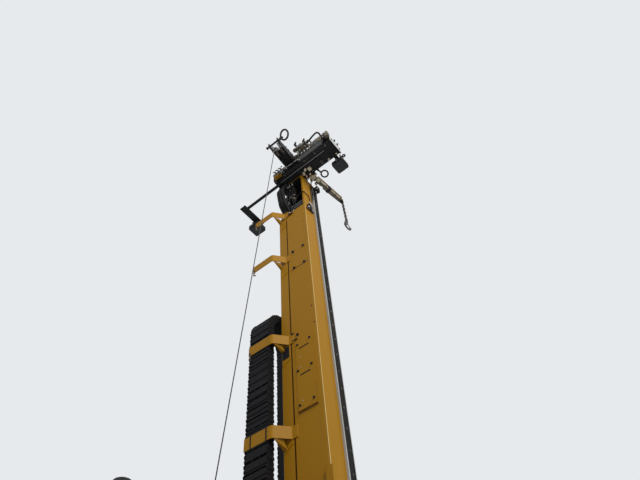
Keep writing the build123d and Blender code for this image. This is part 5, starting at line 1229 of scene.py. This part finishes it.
@dataclass
class LampDress:
    """A work lamp's glass, rim, cooling fins and yoke on its case."""

    name: str
    centre: tuple[float, float, float]
    size: float
    corner: float = 0.028
    half_depth: float = 0.040
    fins: int = 9

    def _square(self, half: float, z: float, corner: float) -> list[Vector]:
        """Return the corners of a rounded square at a height."""
        x, y, _ = self.centre
        reach = half - corner
        points = []
        for number, (sx, sy) in enumerate(((1, 1), (-1, 1), (-1, -1), (1, -1))):
            middle = (x + sx * reach, y + sy * reach, z)
            points += arc(middle, (corner, 0, 0), (0, corner, 0), 5, 90 * number, 22.5)
        return points

    def build(self, shop: Paintshop) -> None:
        """Make the lamp's fittings.

        Args:
            shop: Where the finishes come from.
        """
        bench = Bench(shop, self.name)
        x, y, z = self.centre
        half = self.size / 2
        low, high = z - self.half_depth, z + self.half_depth
        bench.hose(self._square(half - 0.006, low - 0.001, self.corner - 0.006), 0.0045, Look.PLASTIC,
                   closed=True, steps=2)
        bench.sheet_metal(self._square(half - 0.012, low, self.corner - 0.008), (0, 0, -0.002), Look.GLASS)
        step = (self.size - 0.07) / 2 * 0.9
        for across in (-step, 0, step):
            for along in (-step, 0, step):
                bench.stack((x + along, y + across, low), DOWN, (0.0018, 0.0030, 0.024, Look.GLASS))
        for number in range(self.fins):
            fin = x - half + 0.030 + number * (self.size - 0.060) / (self.fins - 1)
            if abs(fin - x) > 0.045:
                bench.block((fin - 0.003, y - half + 0.020, high - 0.002),
                            (fin + 0.003, y + half - 0.020, high + 0.020), Look.BLACK, 0.001)
        for side in SIDES:
            edge = x + side * (half + 0.003)
            bench.block((edge - 0.003, y - 0.018, z - 0.020), (edge + 0.003, y + 0.018, high + 0.040),
                        Look.BLACK, 0.001)
            bench.bolt((edge + side * 0.003, y, z), (side, 0, 0), 0.020, Look.BARE)
        bench.block((x - half - 0.006, y - 0.018, high + 0.034), (x + half + 0.006, y + 0.018, high + 0.040),
                    Look.BLACK, 0.001)
        bench.set_on("mast")


@dataclass
class JibDress:
    """The jib's flanges, side plates, clamps, bolts and latch rod; the pale top flange and side plates are
    painted sunlight, and the olive underside flanges are painted shade.
    """

    root: tuple[float, float, float] = (-0.525, -0.400, 8.135)
    length: float = 0.800
    yaw: float = -6.0
    half: float = 0.022
    root_height: float = 0.100
    tip_height: float = 0.060

    def _at(self, along: float, side: float, up: float) -> Vector:
        """Return a place on the jib from how far along, beside and over its axis it lies."""
        turn = math.radians(self.yaw)
        ahead = Vector((math.cos(turn), math.sin(turn), 0))
        left = Vector((-math.sin(turn), math.cos(turn), 0))
        return Vector(self.root) + ahead * along + left * side + Vector((0, 0, up))

    def _edge(self, along: float) -> float:
        """Return half the jib's height at a place along it."""
        return (self.root_height + (self.tip_height - self.root_height) * along / self.length) / 2

    def _bar(self, bench: Bench, start: float, end: float, half: float, up: tuple[float, float], rise: float,
             look: Look) -> None:
        """Make a flat bar along the jib.

        Args:
            bench: Where it is gathered.
            start: Where it starts along the jib.
            end: Where it ends.
            half: Half its width.
            up: Heights of its lower face at the start and the end.
            rise: Its thickness.
            look: Its finish.
        """
        self._flat(bench, ((start, -half, half), (end, -half, half)), up, rise, look)

    def _flat(self, bench: Bench, ends: tuple[tuple[float, float, float], ...], up: Sequence[float],
              rise: float, look: Look) -> None:
        """Make a flat bar whose sides needn't be alike.

        Args:
            bench: Where it is gathered.
            ends: For either end, how far along it lies and where its two sides lie.
            up: Heights of its lower face at the start and the end.
            rise: Its thickness.
            look: Its finish.
        """
        (start, right, left), (end, far_right, far_left) = ends
        corners = [self._at(start, right, up[0]), self._at(end, far_right, up[1]),
                   self._at(end, far_left, up[1]), self._at(start, left, up[0])]
        bench.sheet_metal(corners, (0, 0, rise), look, bevel=0.0008)

    def build(self, shop: Paintshop) -> None:
        """Make the jib's fittings.

        Args:
            shop: Where the finishes come from.
        """
        bench = Bench(shop, "jib_fittings")
        half, thickness = self.half, 0.006
        left = self._at(0, 1, 0) - self._at(0, 0, 0)
        # pale top sheet: painted sunlight; olive underside sheets: painted shade of the yellow jib
        for face, look, ends in (
            (1, Look.WEATHERED, ((0.060, -0.052, 0.028), (0.720, -0.058, 0.030))),
            (-1, Look.OLIVE, ((0.090, -0.038, 0.026), (0.258, -0.038, 0.027))),
            (-1, Look.OLIVE, ((0.258, -0.038, 0.050), (0.700, -0.032, 0.036))),
        ):
            up = [self._edge(end[0]) if face > 0 else -self._edge(end[0]) - thickness for end in ends]
            self._flat(bench, ends, up, thickness, look)
        # pale sheets on both sides: painted sunlight on the yellow jib
        for side in SIDES:
            for first, last in ((0.060, 0.355), (0.430, 0.685)):
                low, high = ([(along, sign * self._edge(along) + lift) for along in (first, last)]
                             for sign, lift in ((-1, 0.008), (1, -0.002)))
                outline = [self._at(along, side * (half + 0.0005), up) for along, up in (*low, *high[::-1])]
                bench.sheet_metal(outline, left * side * 0.0035, Look.WEATHERED)
        bench.rod(self._at(0.841, 0, -0.829), self._at(0.787, 0, -0.749), 0.007, Look.OILED)
        bench.rod(self._at(0.784, -0.016, -0.746), self._at(0.784, 0.016, -0.746), 0.008, Look.BARE, sides=8)
        for side in SIDES:
            bench.bolts([self._at(along, side * (half + 0.004), 0) for along in (0.140, 0.300, 0.560)],
                        left * side, 0.020)
        self._bar(bench, 0.070, 0.200, half + 0.012, (-0.064, -0.060), 0.010, Look.OLIVE)
        self._bar(bench, 0.350, 0.405, half + 0.031, (-0.052, -0.050), 0.106, Look.BLACK)
        bench.bolt(self._at(0.392, 0, 0.054), UP, 0.024, Look.BARE)
        self._bar(bench, 0.690, 0.770, half + 0.008, (-0.042, -0.040), 0.082, Look.BLACK)
        bench.bolt(self._at(0.730, -half - 0.008, 0), -left, 0.026, Look.CREAM)
        self._bar(bench, 0.200, 0.235, half + 0.010, (0.045, 0.044), 0.014, Look.OILED)
        bench.bolts([self._at(along, 0.010, self._edge(along) + 0.006) for along in (0.100, 0.480, 0.620)],
                    UP, 0.016)
        bench.set_on("jib")


@dataclass
class HoodDress:
    """Lifting eyes, lamps, bolts and seams of the engine hood, and the doors' locks and hinge bolts."""

    back_x: float = -5.580
    half_width: float = 0.900
    top_z: float = 1.720
    grille: tuple[float, float, float] = (0.620, 0.970, 1.460)
    hinges: tuple[float, float] = (1.040, 1.490)

    def build(self, shop: Paintshop) -> None:
        """Make the hood's fittings.

        Args:
            shop: Where the finishes come from.
        """
        self._roof(Bench(shop, "hood_roof_fittings"))
        self._rear(Bench(shop, "hood_rear_fittings"))
        for side, body in ((1, "door_left"), (-1, "door_right")):
            bench = Bench(shop, f"{body}_fittings")
            face, out = side * self.half_width, (0, side, 0)
            hinge_bolts = [(-4.185, face, z + rise) for z in self.hinges for rise in (-0.030, 0.030)]
            bench.bolts(hinge_bolts, out, 0.018, Look.BARE)
            bench.stack((-5.210, face, 1.330), out, (0.024, 0.034, 0.014, Look.BARE),
                        (0.034, 0.036, 0.005, Look.BLACK))
            for x in (-5.255, -4.160):
                bench.block((x - 0.004, face, 0.960), (x + 0.004, face + side * 0.0015, 1.570), Look.PLASTIC,
                            0)
            bench.set_on(body)

    def _roof(self, bench: Bench) -> None:
        """Make the lifting eyes, the seams, the beacon, the roof's caps and the rain gutters."""
        top = self.top_z
        for x in (-4.180, -5.200):
            for y in (-0.560, 0.560):
                eye, left, right = (x, y, top + 0.052), x - 0.065, x + 0.065
                outline = [(left, y, top - 0.001), (right, y, top - 0.001), (right, y, top + 0.022)]
                outline += [*arc(eye, (0.045, 0, 0), (0, 0, 0.045), 7, 0, 30), (left, y, top + 0.022)]
                hole = arc(eye, (0.022, 0, 0), (0, 0, 0.022), 12)
                bench.sheet_metal(outline, (0, 0.014, 0), Look.YELLOW, [hole])
                bench.weld((left, y - 0.002, top + 0.001), (right, y - 0.002, top + 0.001), 0.005)
        for x in (-4.420, -4.960):
            bench.block((x - 0.003, -0.830, top), (x + 0.003, 0.830, top + 0.0012), Look.SEAM_AND_PAINTED_SHADE, 0)
            bench.bolts([(x - 0.030, -0.780 + 0.195 * step, top) for step in range(9)], UP, 0.016)
        bench.stack((-4.110, 0.700, top), UP, (-0.001, 0.034, 0.058, Look.BLACK),
                    (0.034, 0.120, 0.048, Look.AMBER, 0.040), (0.120, 0.130, 0.038, Look.BLACK))
        bench.stack((-4.600, 0.0, top), UP, (-0.001, 0.050, 0.050, Look.BLACK),
                    (0.050, 0.072, 0.075, Look.BLACK))
        bench.stack((-5.250, -0.620, top), UP, (0.045, 0.060, 0.054, Look.OILED))
        bench.bolts(arc((-5.250, -0.620, top + 0.011), (0.068, 0, 0), (0, 0.068, 0), 4, 45), UP, 0.014)
        for side in SIDES:
            face = side * self.half_width
            bench.block((-5.300, face, 1.604), (-4.105, face + side * 0.014, 1.612), Look.YELLOW)
            seats = [(x, face, z) for x in (-5.450, -4.040) for z in (0.900, 1.100, 1.300, 1.500)]
            bench.bolts(seats, (0, side, 0), 0.016)
        bench.set_on("chassis")

    def _rear(self, bench: Bench) -> None:
        """Make the tail lamps, the grille's bolts and corner guards, and the work lamp over the grille."""
        half, low, high = self.grille
        x, edge = self.back_x, half + 0.030
        seats = [(x, edge * (step / 4 - 1), z) for step in range(9) for z in (low - 0.028, high + 0.028)]
        bench.bolts(seats, ASTERN, 0.016)
        for side in SIDES:
            y, corner = side * 0.770, side * 0.700
            bench.blocks(
                ((x - 0.016, y - 0.055, 1.120), (x, y + 0.055, 1.330), Look.BLACK, 0.004),
                ((x - 0.028, y - 0.045, 1.130), (x - 0.016, y + 0.045, 1.220), Look.TAIL, 0.006),
                ((x - 0.028, y - 0.045, 1.230), (x - 0.016, y + 0.045, 1.275), Look.AMBER, 0.005),
                ((x - 0.028, y - 0.045, 1.285), (x - 0.016, y + 0.045, 1.320), Look.LENS, 0.005),
                ((x - 0.020, corner - 0.020, 0.860), (x, corner + 0.020, 0.900), Look.BLACK, 0.003),
            )
        bench.block((x - 0.006, 0.300, 1.500), (x, 0.560, 1.560), Look.BLACK)
        for number in range(5):
            z = 1.506 + 0.010 * number
            bench.block((x - 0.009, 0.315, z), (x - 0.006, 0.545, z + 0.005), Look.PLASTIC, 0)
        bench.stack((x, -0.430, 1.530), ASTERN, (0.001, 0.060, 0.014, Look.BLACK),
                    (0.018, 0.078, 0.050, Look.BLACK), (0.078, 0.083, 0.043, Look.LENS))
        bench.set_on("chassis")


@dataclass
class TrackDress:
    """Pins of the track links, hubs, roller caps and drive bolts on both sides."""

    front: float = -2.050
    rear: float = -4.550
    centre_z: float = 0.350
    pin_radius: float = 0.299
    middle_y: float = 0.950
    half_width: float = 0.200
    pins: int = 44  # in either half of a track
    hub_y: float = 1.045
    roller_z: float = 0.145
    roller_pitch: float = 0.340
    rollers: int = 6

    def build(self, shop: Paintshop) -> None:
        """Make the fittings of both tracks.

        Args:
            shop: Where the finishes come from.
        """
        for side, name in ((1, "left"), (-1, "right")):
            self._pins(Bench(shop, f"track_pins_{name}"), side)
            self._hubs(Bench(shop, f"track_hubs_{name}"), side)

    def _loop(self) -> list[tuple[float, float]]:
        """Return the places of the link pins round a track, each with the one across its middle."""
        middle, half = (self.front + self.rear) / 2, (self.front - self.rear) / 2
        places = []
        for step in range(self.pins):
            reach = (step + 0.5) * (2 * half + math.pi * self.pin_radius) / self.pins
            turn = max(0.0, reach - 2 * half) / self.pin_radius
            x = min(reach, 2 * half) - half + self.pin_radius * math.sin(turn)
            z = self.pin_radius * math.cos(turn)
            places += [(middle + x, self.centre_z + z), (middle - x, self.centre_z - z)]
        return places

    def _pins(self, bench: Bench, side: int) -> None:
        """Make the link pins' heads on both faces of a band."""
        for x, z in self._loop():
            for out in SIDES:
                place = (x, side * (self.middle_y + out * self.half_width), z)
                bench.stack(place, (0, side * out, 0), (0, 0.004, 0.011, Look.OILED, None, 8))
        bench.set_on("chassis")

    def _hubs(self, bench: Bench, side: int) -> None:
        """Make the final drive's and the idler's hubs with their bolts, and the roller caps."""
        y, z, out = side * self.hub_y, self.centre_z, (0, side, 0)
        bench.stack((self.rear, y, z), out, (-0.020, 0.040, 0.130, Look.BLACK, 0.120, 32, 0.004),
                    (0.040, 0.062, 0.070, Look.BLACK, None, 24))
        bench.bolts(arc((self.rear, y + side * 0.040, z), (0.098, 0, 0), (0, 0, 0.098), 10), out, 0.022)
        bench.stack((self.front, y, z), out, (-0.020, 0.024, 0.080, Look.BLACK, None, 24))
        bench.bolts(arc((self.front, y + side * 0.024, z), (0.055, 0, 0), (0, 0, 0.055), 6), out)
        for number in range(self.rollers):
            x = (self.front + self.rear) / 2 + (number - (self.rollers - 1) / 2) * self.roller_pitch
            bench.stack((x, y, self.roller_z), out, (-0.010, 0.012, 0.034, Look.OILED))
            bench.bolt((x, y + side * 0.012, self.roller_z), out, 0.024)
        bench.set_on("chassis")


@dataclass
class DeckDress:
    """Chequer nubs, tank fittings, valve hoses, and the console's levers and gauges."""

    deck_z: float = 0.840
    walkways: tuple[tuple[float, float, float, float], ...] = (
        (-2.440, -2.000, -0.880, -0.260), (-2.440, -2.140, 0.260, 0.800), (-3.920, -3.660, 0.400, 0.880),
    )
    nub_pitch: float = 0.040
    valve_slices: int = 8
    console_x: float = -2.050
    console_y: tuple[float, float] = (1.210, 1.530)
    console_z: tuple[float, float] = (1.222, 1.428)

    def build(self, shop: Paintshop) -> None:
        """Make the deck's and the console's fittings.

        Args:
            shop: Where the finishes come from.
        """
        self._nubs(Bench(shop, "deck_chequer_nubs"))
        self._tanks(Bench(shop, "tank_fittings"))
        self._hoses(Bench(shop, "valve_hoses"))
        self._console(Bench(shop, "console_controls"))

    def _nubs(self, bench: Bench) -> None:
        """Make the raised nubs of the walkways, turned in alternate directions."""
        pitch = self.nub_pitch
        for x_low, x_high, y_low, y_high in self.walkways:
            for row in range(int((x_high - x_low) / pitch)):
                for column in range(int((y_high - y_low) / pitch)):
                    lean = 1 if (row + column) % 2 else -1
                    ahead = Vector((1, lean, 0)).normalized() * 0.013
                    side = Vector((-lean, 1, 0)).normalized() * 0.004
                    place = Vector((x_low + (row + 0.5) * pitch, y_low + (column + 0.5) * pitch, self.deck_z))
                    outline = [place - ahead, place + side, place + ahead, place - side]
                    bench.sheet_metal(outline, (0, 0, 0.002), Look.OILED)
        bench.set_on("chassis")

    @staticmethod
    def _tanks(bench: Bench) -> None:
        """Make the sight gauge, the tanks' caps and bolts, the plates and the fuel tank's straps."""
        bench.rod((-2.760, 0.914, 1.000), (-2.760, 0.914, 1.340), 0.012, Look.LENS)
        for z in (0.990, 1.340):
            bench.block((-2.778, 0.899, z - 0.014), (-2.742, 0.926, z + 0.014), Look.OILED, 0.003)
        bench.block((-3.420, 0.900, 1.120), (-3.080, 0.903, 1.330), Look.YELLOW, 0.001)
        for x in (-3.405, -3.095):
            for z in (1.135, 1.315):
                bench.stack((x, 0.903, z), LEFT, (0, 0.003, 0.007, Look.BARE, None, 12))
        for x, radius, count in ((-2.800, 0.048, 6), (-3.350, 0.076, 8)):
            bench.bolts(arc((x, 0.700, 1.645), (radius, 0, 0), (0, radius, 0), count), UP, 0.016)
        bench.stack((-2.800, 0.700, 1.645), UP, (0, 0.045, 0.024, Look.BARE))
        bench.block((-2.745, -0.712, 1.115), (-2.655, -0.688, 1.140), Look.BLACK, 0.005)
        bench.stack((-2.700, -0.700, 1.114), UP, (0, 0.010, 0.050, Look.OILED))
        for x in (-3.560, -2.960):
            bench.blocks(
                ((x - 0.022, -0.9215, 0.860), (x + 0.022, -0.9200, 1.040), Look.BARE, 0),
                ((x - 0.022, -0.870, 1.0900), (x + 0.022, -0.480, 1.0916), Look.BARE, 0),
            )
            bench.bolt((x, -0.9215, 0.880), RIGHT, 0.018, Look.BARE)
        bench.set_on("chassis")

    def _hoses(self, bench: Bench) -> None:
        """Make the hoses from the valve bank's slices to the boom's foot, and the tank's suction hose."""
        rng = random.Random(11)
        for step in range(self.valve_slices):
            x = -3.407 + 0.062 * step
            for side in SIDES:
                y = side * 0.070
                lane = side * (0.050 + 0.022 * (self.valve_slices - 1 - step))
                rise = 1.170 + 0.012 * step + 0.012 * rng.random()
                bench.stack((x, y, 1.068), UP, (0, 0.022, 0.017, Look.ZINC, None, 6),
                            (0.022, 0.062, 0.014, Look.BARE))
                bench.hose([
                    (x, y, 1.126), (x + 0.012, y, rise), (x + 0.100, y * 0.9 + lane * 0.1, rise + 0.020),
                    (-2.900, lane, rise - 0.050), (-2.800, lane, 1.060), (-2.760, lane, 0.960),
                    (-2.756, lane, 0.838),
                ], 0.0105, sides=10, steps=6)
                bench.stack((-2.756, lane, 0.838), UP, (0, 0.042, 0.015, Look.OILED, None, 6))
        bench.hose([(-3.050, 0.382, 0.960), (-3.050, 0.330, 0.962), (-3.055, 0.270, 0.950),
                    (-3.060, 0.235, 0.900), (-3.060, 0.230, 0.838)], 0.030)
        bench.rod((-3.050, 0.382, 0.960), (-3.050, 0.340, 0.961), 0.037, Look.OILED, sides=6)
        bench.hose([(-3.300, 0.382, 1.480), (-3.300, 0.330, 1.470), (-3.290, 0.240, 1.350),
                    (-3.285, 0.190, 1.150), (-3.280, 0.160, 1.010)], 0.018)
        bench.set_on("chassis")

    def _console(self, bench: Bench) -> None:
        """Make the levers, knobs, gauges, stop button and guard rails of the console."""
        middle, (low_y, high_y), (low_z, high_z) = self.console_x, self.console_y, self.console_z
        for step in range(8):
            x, y = middle - 0.245 + 0.070 * step, low_y + 0.200
            knob = Look.TAIL if step in (2, 5) else Look.BLACK
            bench.stack((x, y, high_z), UP, (-0.010, 0.022, 0.022, Look.RUBBER, 0.012))
            bench.rod((x, y, high_z + 0.020), (x, y + 0.010, high_z + 0.100), 0.006, Look.BARE)
            bench.rod((x, y + 0.009, high_z + 0.094), (x, y + 0.013, high_z + 0.126), 0.014, knob, 0.011)
        for step in range(4):
            x = middle - 0.225 + 0.100 * step
            bench.stack((x, high_y, 1.345), LEFT, (0, 0.012, 0.040, Look.BARE, None, 28),
                        (0.012, 0.013, 0.034, Look.LENS, None, 28),
                        (0.013, 0.015, 0.004, Look.BLACK, None, 10))
            bench.block((x - 0.0015, high_y + 0.013, 1.340), (x + 0.0015, high_y + 0.014, 1.372), Look.BLACK,
                        0)
        for step in range(9):
            x = middle - 0.255 + 0.052 * step
            bench.stack((x, high_y, 1.262), LEFT, (0, 0.010, 0.012, Look.BARE))
            bench.rod((x, high_y + 0.010, 1.262), (x + 0.003, high_y + 0.030, 1.268), 0.005, Look.BARE)
        bench.stack((middle + 0.235, high_y, 1.345), LEFT, (0, 0.014, 0.032, Look.AMBER),
                    (0.014, 0.032, 0.022, Look.TAIL))
        seats = [(middle + reach, high_y, z)
                 for reach in (-0.300, 0.300) for z in (low_z + 0.014, high_z - 0.014)]
        bench.bolts(seats, LEFT, 0.012, Look.BARE)
        rail = ((0.270, 0.120, 0.006), (0.272, 0.124, 0.110), (0.262, 0.230, 0.140), (0.265, 0.285, 0.080),
                (0.265, 0.290, -0.012))
        for side in SIDES:
            bench.hose([(middle + side * x, low_y + y, high_z + z) for x, y, z in rail], 0.009, Look.BLACK)
        bench.set_on("console")


@dataclass
class BoomDress:
    """Hose runs, clamps and bolts on the boom, and rings, ports and pipes on its cylinders."""

    foot: tuple[float, float] = (-2.300, 1.100)
    tilt_pin: tuple[float, float] = (-1.110, 2.100)
    half_width: float = 0.150
    barrel_pin: tuple[float, float] = (-2.105, 1.264)
    rod_pin: tuple[float, float] = (-1.094, 1.740)
    tilt_y: float = 0.270
    tilt_radius: float = 0.055
    lift_pin: tuple[float, float] = (-1.800, 0.620)
    lift_rod_pin: tuple[float, float] = (-1.597, 1.429)
    lift_radius: float = 0.062

    def build(self, shop: Paintshop) -> None:
        """Make the boom's and the cylinders' fittings.

        Args:
            shop: Where the finishes come from.
        """
        self._boom(Bench(shop, "boom_hoses"))
        bench = Bench(shop, "tilt_cylinder_fittings")
        for side in SIDES:
            self._cylinder(bench, flat_axes(self.barrel_pin, self.rod_pin, side * self.tilt_y),
                           self.tilt_radius, (0.120, 0.800))
        bench.set_on("tilt_barrels")
        bench = Bench(shop, "lift_cylinder_fittings")
        self._cylinder(bench, flat_axes(self.lift_pin, self.lift_rod_pin), self.lift_radius, (0.120, 0.560))
        bench.set_on("lift_barrel")

    def _boom(self, bench: Bench) -> None:
        """Make three hoses along each side of the boom, with their clamps."""
        start, ahead, normal = flat_axes(self.foot, self.tilt_pin)
        spots = ((0.240, -0.030, 0.000), (0.300, 0.000, 0.004), (0.520, 0.002, 0.004), (0.800, -0.002, 0.004),
                 (1.060, 0.000, 0.004), (1.130, 0.016, 0.000))
        clamp = ((-0.016, 0.012), (0.016, 0.012), (0.016, 0.112), (-0.016, 0.112))
        for side in SIDES:
            out = Vector((0, side, 0))
            face = start + out * self.half_width
            for lane, radius in ((0.030, 0.011), (0.062, 0.011), (0.094, 0.009)):
                route = [face + ahead * reach + normal * (lane + shift) + out * (radius + lift)
                         for reach, shift, lift in spots]
                bench.hose(route, radius, sides=10, steps=5)
                for end in (route[0], route[-1]):
                    bench.stack(end, ahead, (-0.014, 0.014, radius * 1.5, Look.ZINC, None, 6))
            for reach in (0.380, 0.660, 0.940):
                corners = [face + ahead * (reach + along) + normal * up for along, up in clamp]
                bench.sheet_metal(corners, out * 0.030, Look.BLACK, bevel=0.002)
                bench.bolt(face + ahead * reach + normal * 0.078 + out * 0.030, out, 0.014, Look.BARE)
            bench.bolts([face + ahead * reach - normal * 0.060 for reach in (0.330, 1.020)], out, 0.022)
        bench.set_on("boom")

    @staticmethod
    def _cylinder(bench: Bench, axes: tuple[Vector, Vector, Vector], radius: float,
                  ports: tuple[float, float]) -> None:
        """Make a cylinder's gland rings, its two ports and the pipe along it.

        Args:
            bench: Where it is gathered.
            axes: The barrel's pin, the way along it and the way up from it.
            radius: The barrel's radius.
            ports: How far along the barrel its ports lie.
        """
        start, ahead, normal = axes
        low, high = ports
        beside, over = Vector(LEFT) * radius, ahead.cross(Vector(LEFT)) * radius
        for reach in (low - 0.030, high - 0.045, high + 0.014):
            bench.hose(arc(start + ahead * reach, beside, over, 12), 0.0045, Look.OILED, sides=8, closed=True,
                       steps=3)
        for reach in ports:
            foot = start + ahead * (reach - 0.015) + normal * (radius - 0.004)
            bench.stack(foot, normal, (0, 0.022, 0.018, Look.BLACK),
                        (0.022, 0.036, 0.014, Look.ZINC, None, 6))
        spots = ((low, 0, 0.004), (low, 0.030, 0.010), (low, 0.080, -0.012), (high, -0.080, -0.012),
                 (high, -0.030, 0.010), (high, 0, 0.004))
        route = [start + ahead * (reach - 0.015 + shift) + normal * (radius + 0.028 + rise)
                 for reach, shift, rise in spots]
        bench.hose(route, 0.007, Look.BARE, sides=8, steps=5)


@dataclass
class HeadDress:
    """Bolts, hose stubs and plates of the rotary head, and the drum's rope windings."""

    low_z: float = 1.020
    high_z: float = 1.430
    motor_top_z: float = 1.690
    motor_radius: float = 0.070
    motors: tuple[tuple[float, float], ...] = ((-0.110, 0.115), (-0.110, -0.115))
    half_width: float = 0.200
    drum: tuple[float, float] = (-1.280, 1.700)
    drum_radius: float = 0.110
    rope_radius: float = 0.006
    drum_y: tuple[float, float] = (0.431, 0.657)

    def build(self, shop: Paintshop) -> None:
        """Make the head's and the drum's fittings.

        Args:
            shop: Where the finishes come from.
        """
        self._head(Bench(shop, "rotary_head_fittings"))
        self._windings(Bench(shop, "drum_rope_windings"))

    def _head(self, bench: Bench) -> None:
        """Make the motors' bolts and hoses, and the bolts and plates on the head's sides."""
        top = self.motor_top_z
        for x, y in self.motors:
            bench.bolts(arc((x, y, top), (0.052, 0, 0), (0, 0.052, 0), 6), UP, 0.016)
            bench.stack((x, y, top), UP, (0, 0.012, 0.030, Look.BLACK))
            side = 1 if y > 0 else -1
            for step, z in enumerate((top - 0.060, top - 0.130)):
                foot = Vector((x, y + side * (self.motor_radius - 0.004), z))
                lane = side * (0.208 + 0.030 * step)
                bench.stack(foot, (0, side, 0), (0, 0.024, 0.020, Look.ZINC, None, 6))
                bench.hose([
                    foot + Vector((0, side * 0.020, 0)), foot + Vector((0, side * 0.060, 0.004)),
                    foot + Vector((-0.030, side * 0.080, -0.040)), (x - 0.090, side * 0.205, z - 0.120),
                    (x - 0.120, lane, z - 0.200), (-0.270, lane, 1.300),
                ], 0.013, sides=10, steps=6)
        for side in SIDES:
            face = side * self.half_width
            seats = [(x, face, z)
                     for z in (self.low_z + 0.050, self.high_z - 0.050) for x in (-0.230, -0.100, 0.030)]
            bench.bolts(seats, (0, side, 0), 0.024)
            bench.block((-0.180, face, 1.160), (-0.040, face + side * 0.003, 1.270), Look.GALVANISED, 0.001)
        bench.set_on("carriage")

    def _windings(self, bench: Bench) -> None:
        """Make the rope's turns on the drum, each of twenty points."""
        low, high = self.drum_y
        x, z = self.drum
        reach = self.drum_radius + self.rope_radius * 0.8
        count = 20 * int((high - low) / (self.rope_radius * 2.1))
        coil = arc((x, low, z), (reach, 0, 0), (0, 0, reach), count + 1, 0, 360 / 20)
        line = [place + Vector(LEFT) * (high - low) * step / count for step, place in enumerate(coil)]
        bench.hose(line, self.rope_radius, Look.WIRE, sides=8, steps=1)
        bench.set_on("drum")


@dataclass
class Studio:
    """A pale floor, soft light from all round and a camera on the floor, looking up the mast."""

    floor_size: float = 60.0
    floor_colour: Colour = (0.72, 0.72, 0.71)
    floor_roughness: float = 0.9
    backdrop: Colour = (0.80, 0.82, 0.84)
    sky: Colour = (0.93, 0.96, 1.0)
    daylight: float = 0.52
    key_energy: float = 1500.0
    aim: tuple[float, float, float] = (-1.0, 0.0, 4.5)  # the middle of the mast
    camera_place: tuple[float, float, float] = (-4.24, -2.634, 0.20)
    camera_right: tuple[float, float, float] = (0.6120, -0.7870, -0.0779)
    camera_up: tuple[float, float, float] = (-0.6118, -0.5335, 0.5841)
    camera_lens: float = 27.0
    sensor_width: float = 36.0

    def build(self) -> None:
        """Set up the floor, the light and the camera."""
        self._floor()
        self._world()
        self._lamp("key", (-5.3, -10.5, 12.0), 6.0, self.key_energy)
        self._lamp("fill", (9.0, 7.0, 9.0), 7.0, self.key_energy * 0.5)
        self._camera()
        bpy.context.scene.view_settings.view_transform = "Standard"

    @staticmethod
    def _add(name: str, data: bpy.types.ID) -> bpy.types.Object:
        """Put an object into the scene and return it."""
        thing = bpy.data.objects.new(name, data)
        bpy.context.collection.objects.link(thing)
        return thing

    def _floor(self) -> None:
        """Lay the floor, which isn't part of the machine."""
        mesh = bpy.data.meshes.new("floor")
        half = self.floor_size / 2
        mesh.from_pydata([(-half, -half, 0), (half, -half, 0), (half, half, 0), (-half, half, 0)], [],
                         [(0, 1, 2, 3)])
        material = bpy.data.materials.new("studio_floor")
        material.use_nodes = True
        shader = material.node_tree.nodes["Principled BSDF"]
        shader.inputs["Base Color"].default_value = (*self.floor_colour, 1.0)
        shader.inputs["Roughness"].default_value = self.floor_roughness
        mesh.materials.append(material)
        self._add("floor", mesh)

    def _world(self) -> None:
        """Light the scene evenly and show a pale background."""
        world = bpy.data.worlds.new("studio")
        bpy.context.scene.world = world
        world.use_nodes = True
        tree = world.node_tree
        light = tree.nodes["Background"]
        light.inputs["Color"].default_value = (*self.sky, 1.0)
        light.inputs["Strength"].default_value = self.daylight
        seen = tree.nodes.new("ShaderNodeBackground")
        seen.inputs["Color"].default_value = (*self.backdrop, 1.0)
        path = tree.nodes.new("ShaderNodeLightPath")
        seeing = path.outputs["Is Camera Ray"]
        for kind in ("Is Glossy Ray", "Is Transmission Ray"):
            either = tree.nodes.new("ShaderNodeMath")
            either.operation = "MAXIMUM"
            tree.links.new(seeing, either.inputs[0])
            tree.links.new(path.outputs[kind], either.inputs[1])
            seeing = either.outputs[0]
        mix = tree.nodes.new("ShaderNodeMixShader")
        ends = (mix.inputs["Fac"], mix.inputs[1], mix.inputs[2], tree.nodes["World Output"].inputs["Surface"])
        for output, end in zip((seeing, light.outputs[0], seen.outputs[0], mix.outputs[0]), ends):
            tree.links.new(output, end)

    def _lamp(self, name: str, place: Point, size: float, energy: float) -> None:
        """Hang a soft lamp that points at the middle of the mast."""
        data = bpy.data.lights.new(name, "AREA")
        data.size = size
        data.energy = energy
        lamp = self._add(name, data)
        lamp.location = place
        lamp.rotation_euler = (Vector(self.aim) - Vector(place)).to_track_quat("-Z", "Y").to_euler()

    def _camera(self) -> None:
        """Put the camera on the floor behind the mast's right side, looking up."""
        data = bpy.data.cameras.new("camera")
        data.lens = self.camera_lens
        data.sensor_width = self.sensor_width
        camera = self._add("camera", data)
        right = Vector(self.camera_right).normalized()
        back = right.cross(Vector(self.camera_up)).normalized()
        turn = Matrix((right, back.cross(right), back)).transposed().to_4x4()
        camera.matrix_world = Matrix.Translation(self.camera_place) @ turn
        bpy.context.scene.camera = camera


def main() -> None:
    """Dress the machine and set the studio."""
    logging.basicConfig(level=logging.INFO, format="%(message)s")
    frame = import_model()
    shop = Paintshop()
    shop.dress_nodes(frame)
    Studio().build()
    for dress in (
        MastDress(), BracketDress(), ChainDress(), CrownDress(),
        LampDress("right_lamp_fittings", (-0.534, -0.971, 7.900), 0.230),
        LampDress("left_lamp_fittings", (-0.475, 1.070, 7.910), 0.240),
        JibDress(), HoodDress(), TrackDress(), DeckDress(), BoomDress(), HeadDress(),
    ):
        dress.build(shop)


if __name__ == "__main__":
    main()
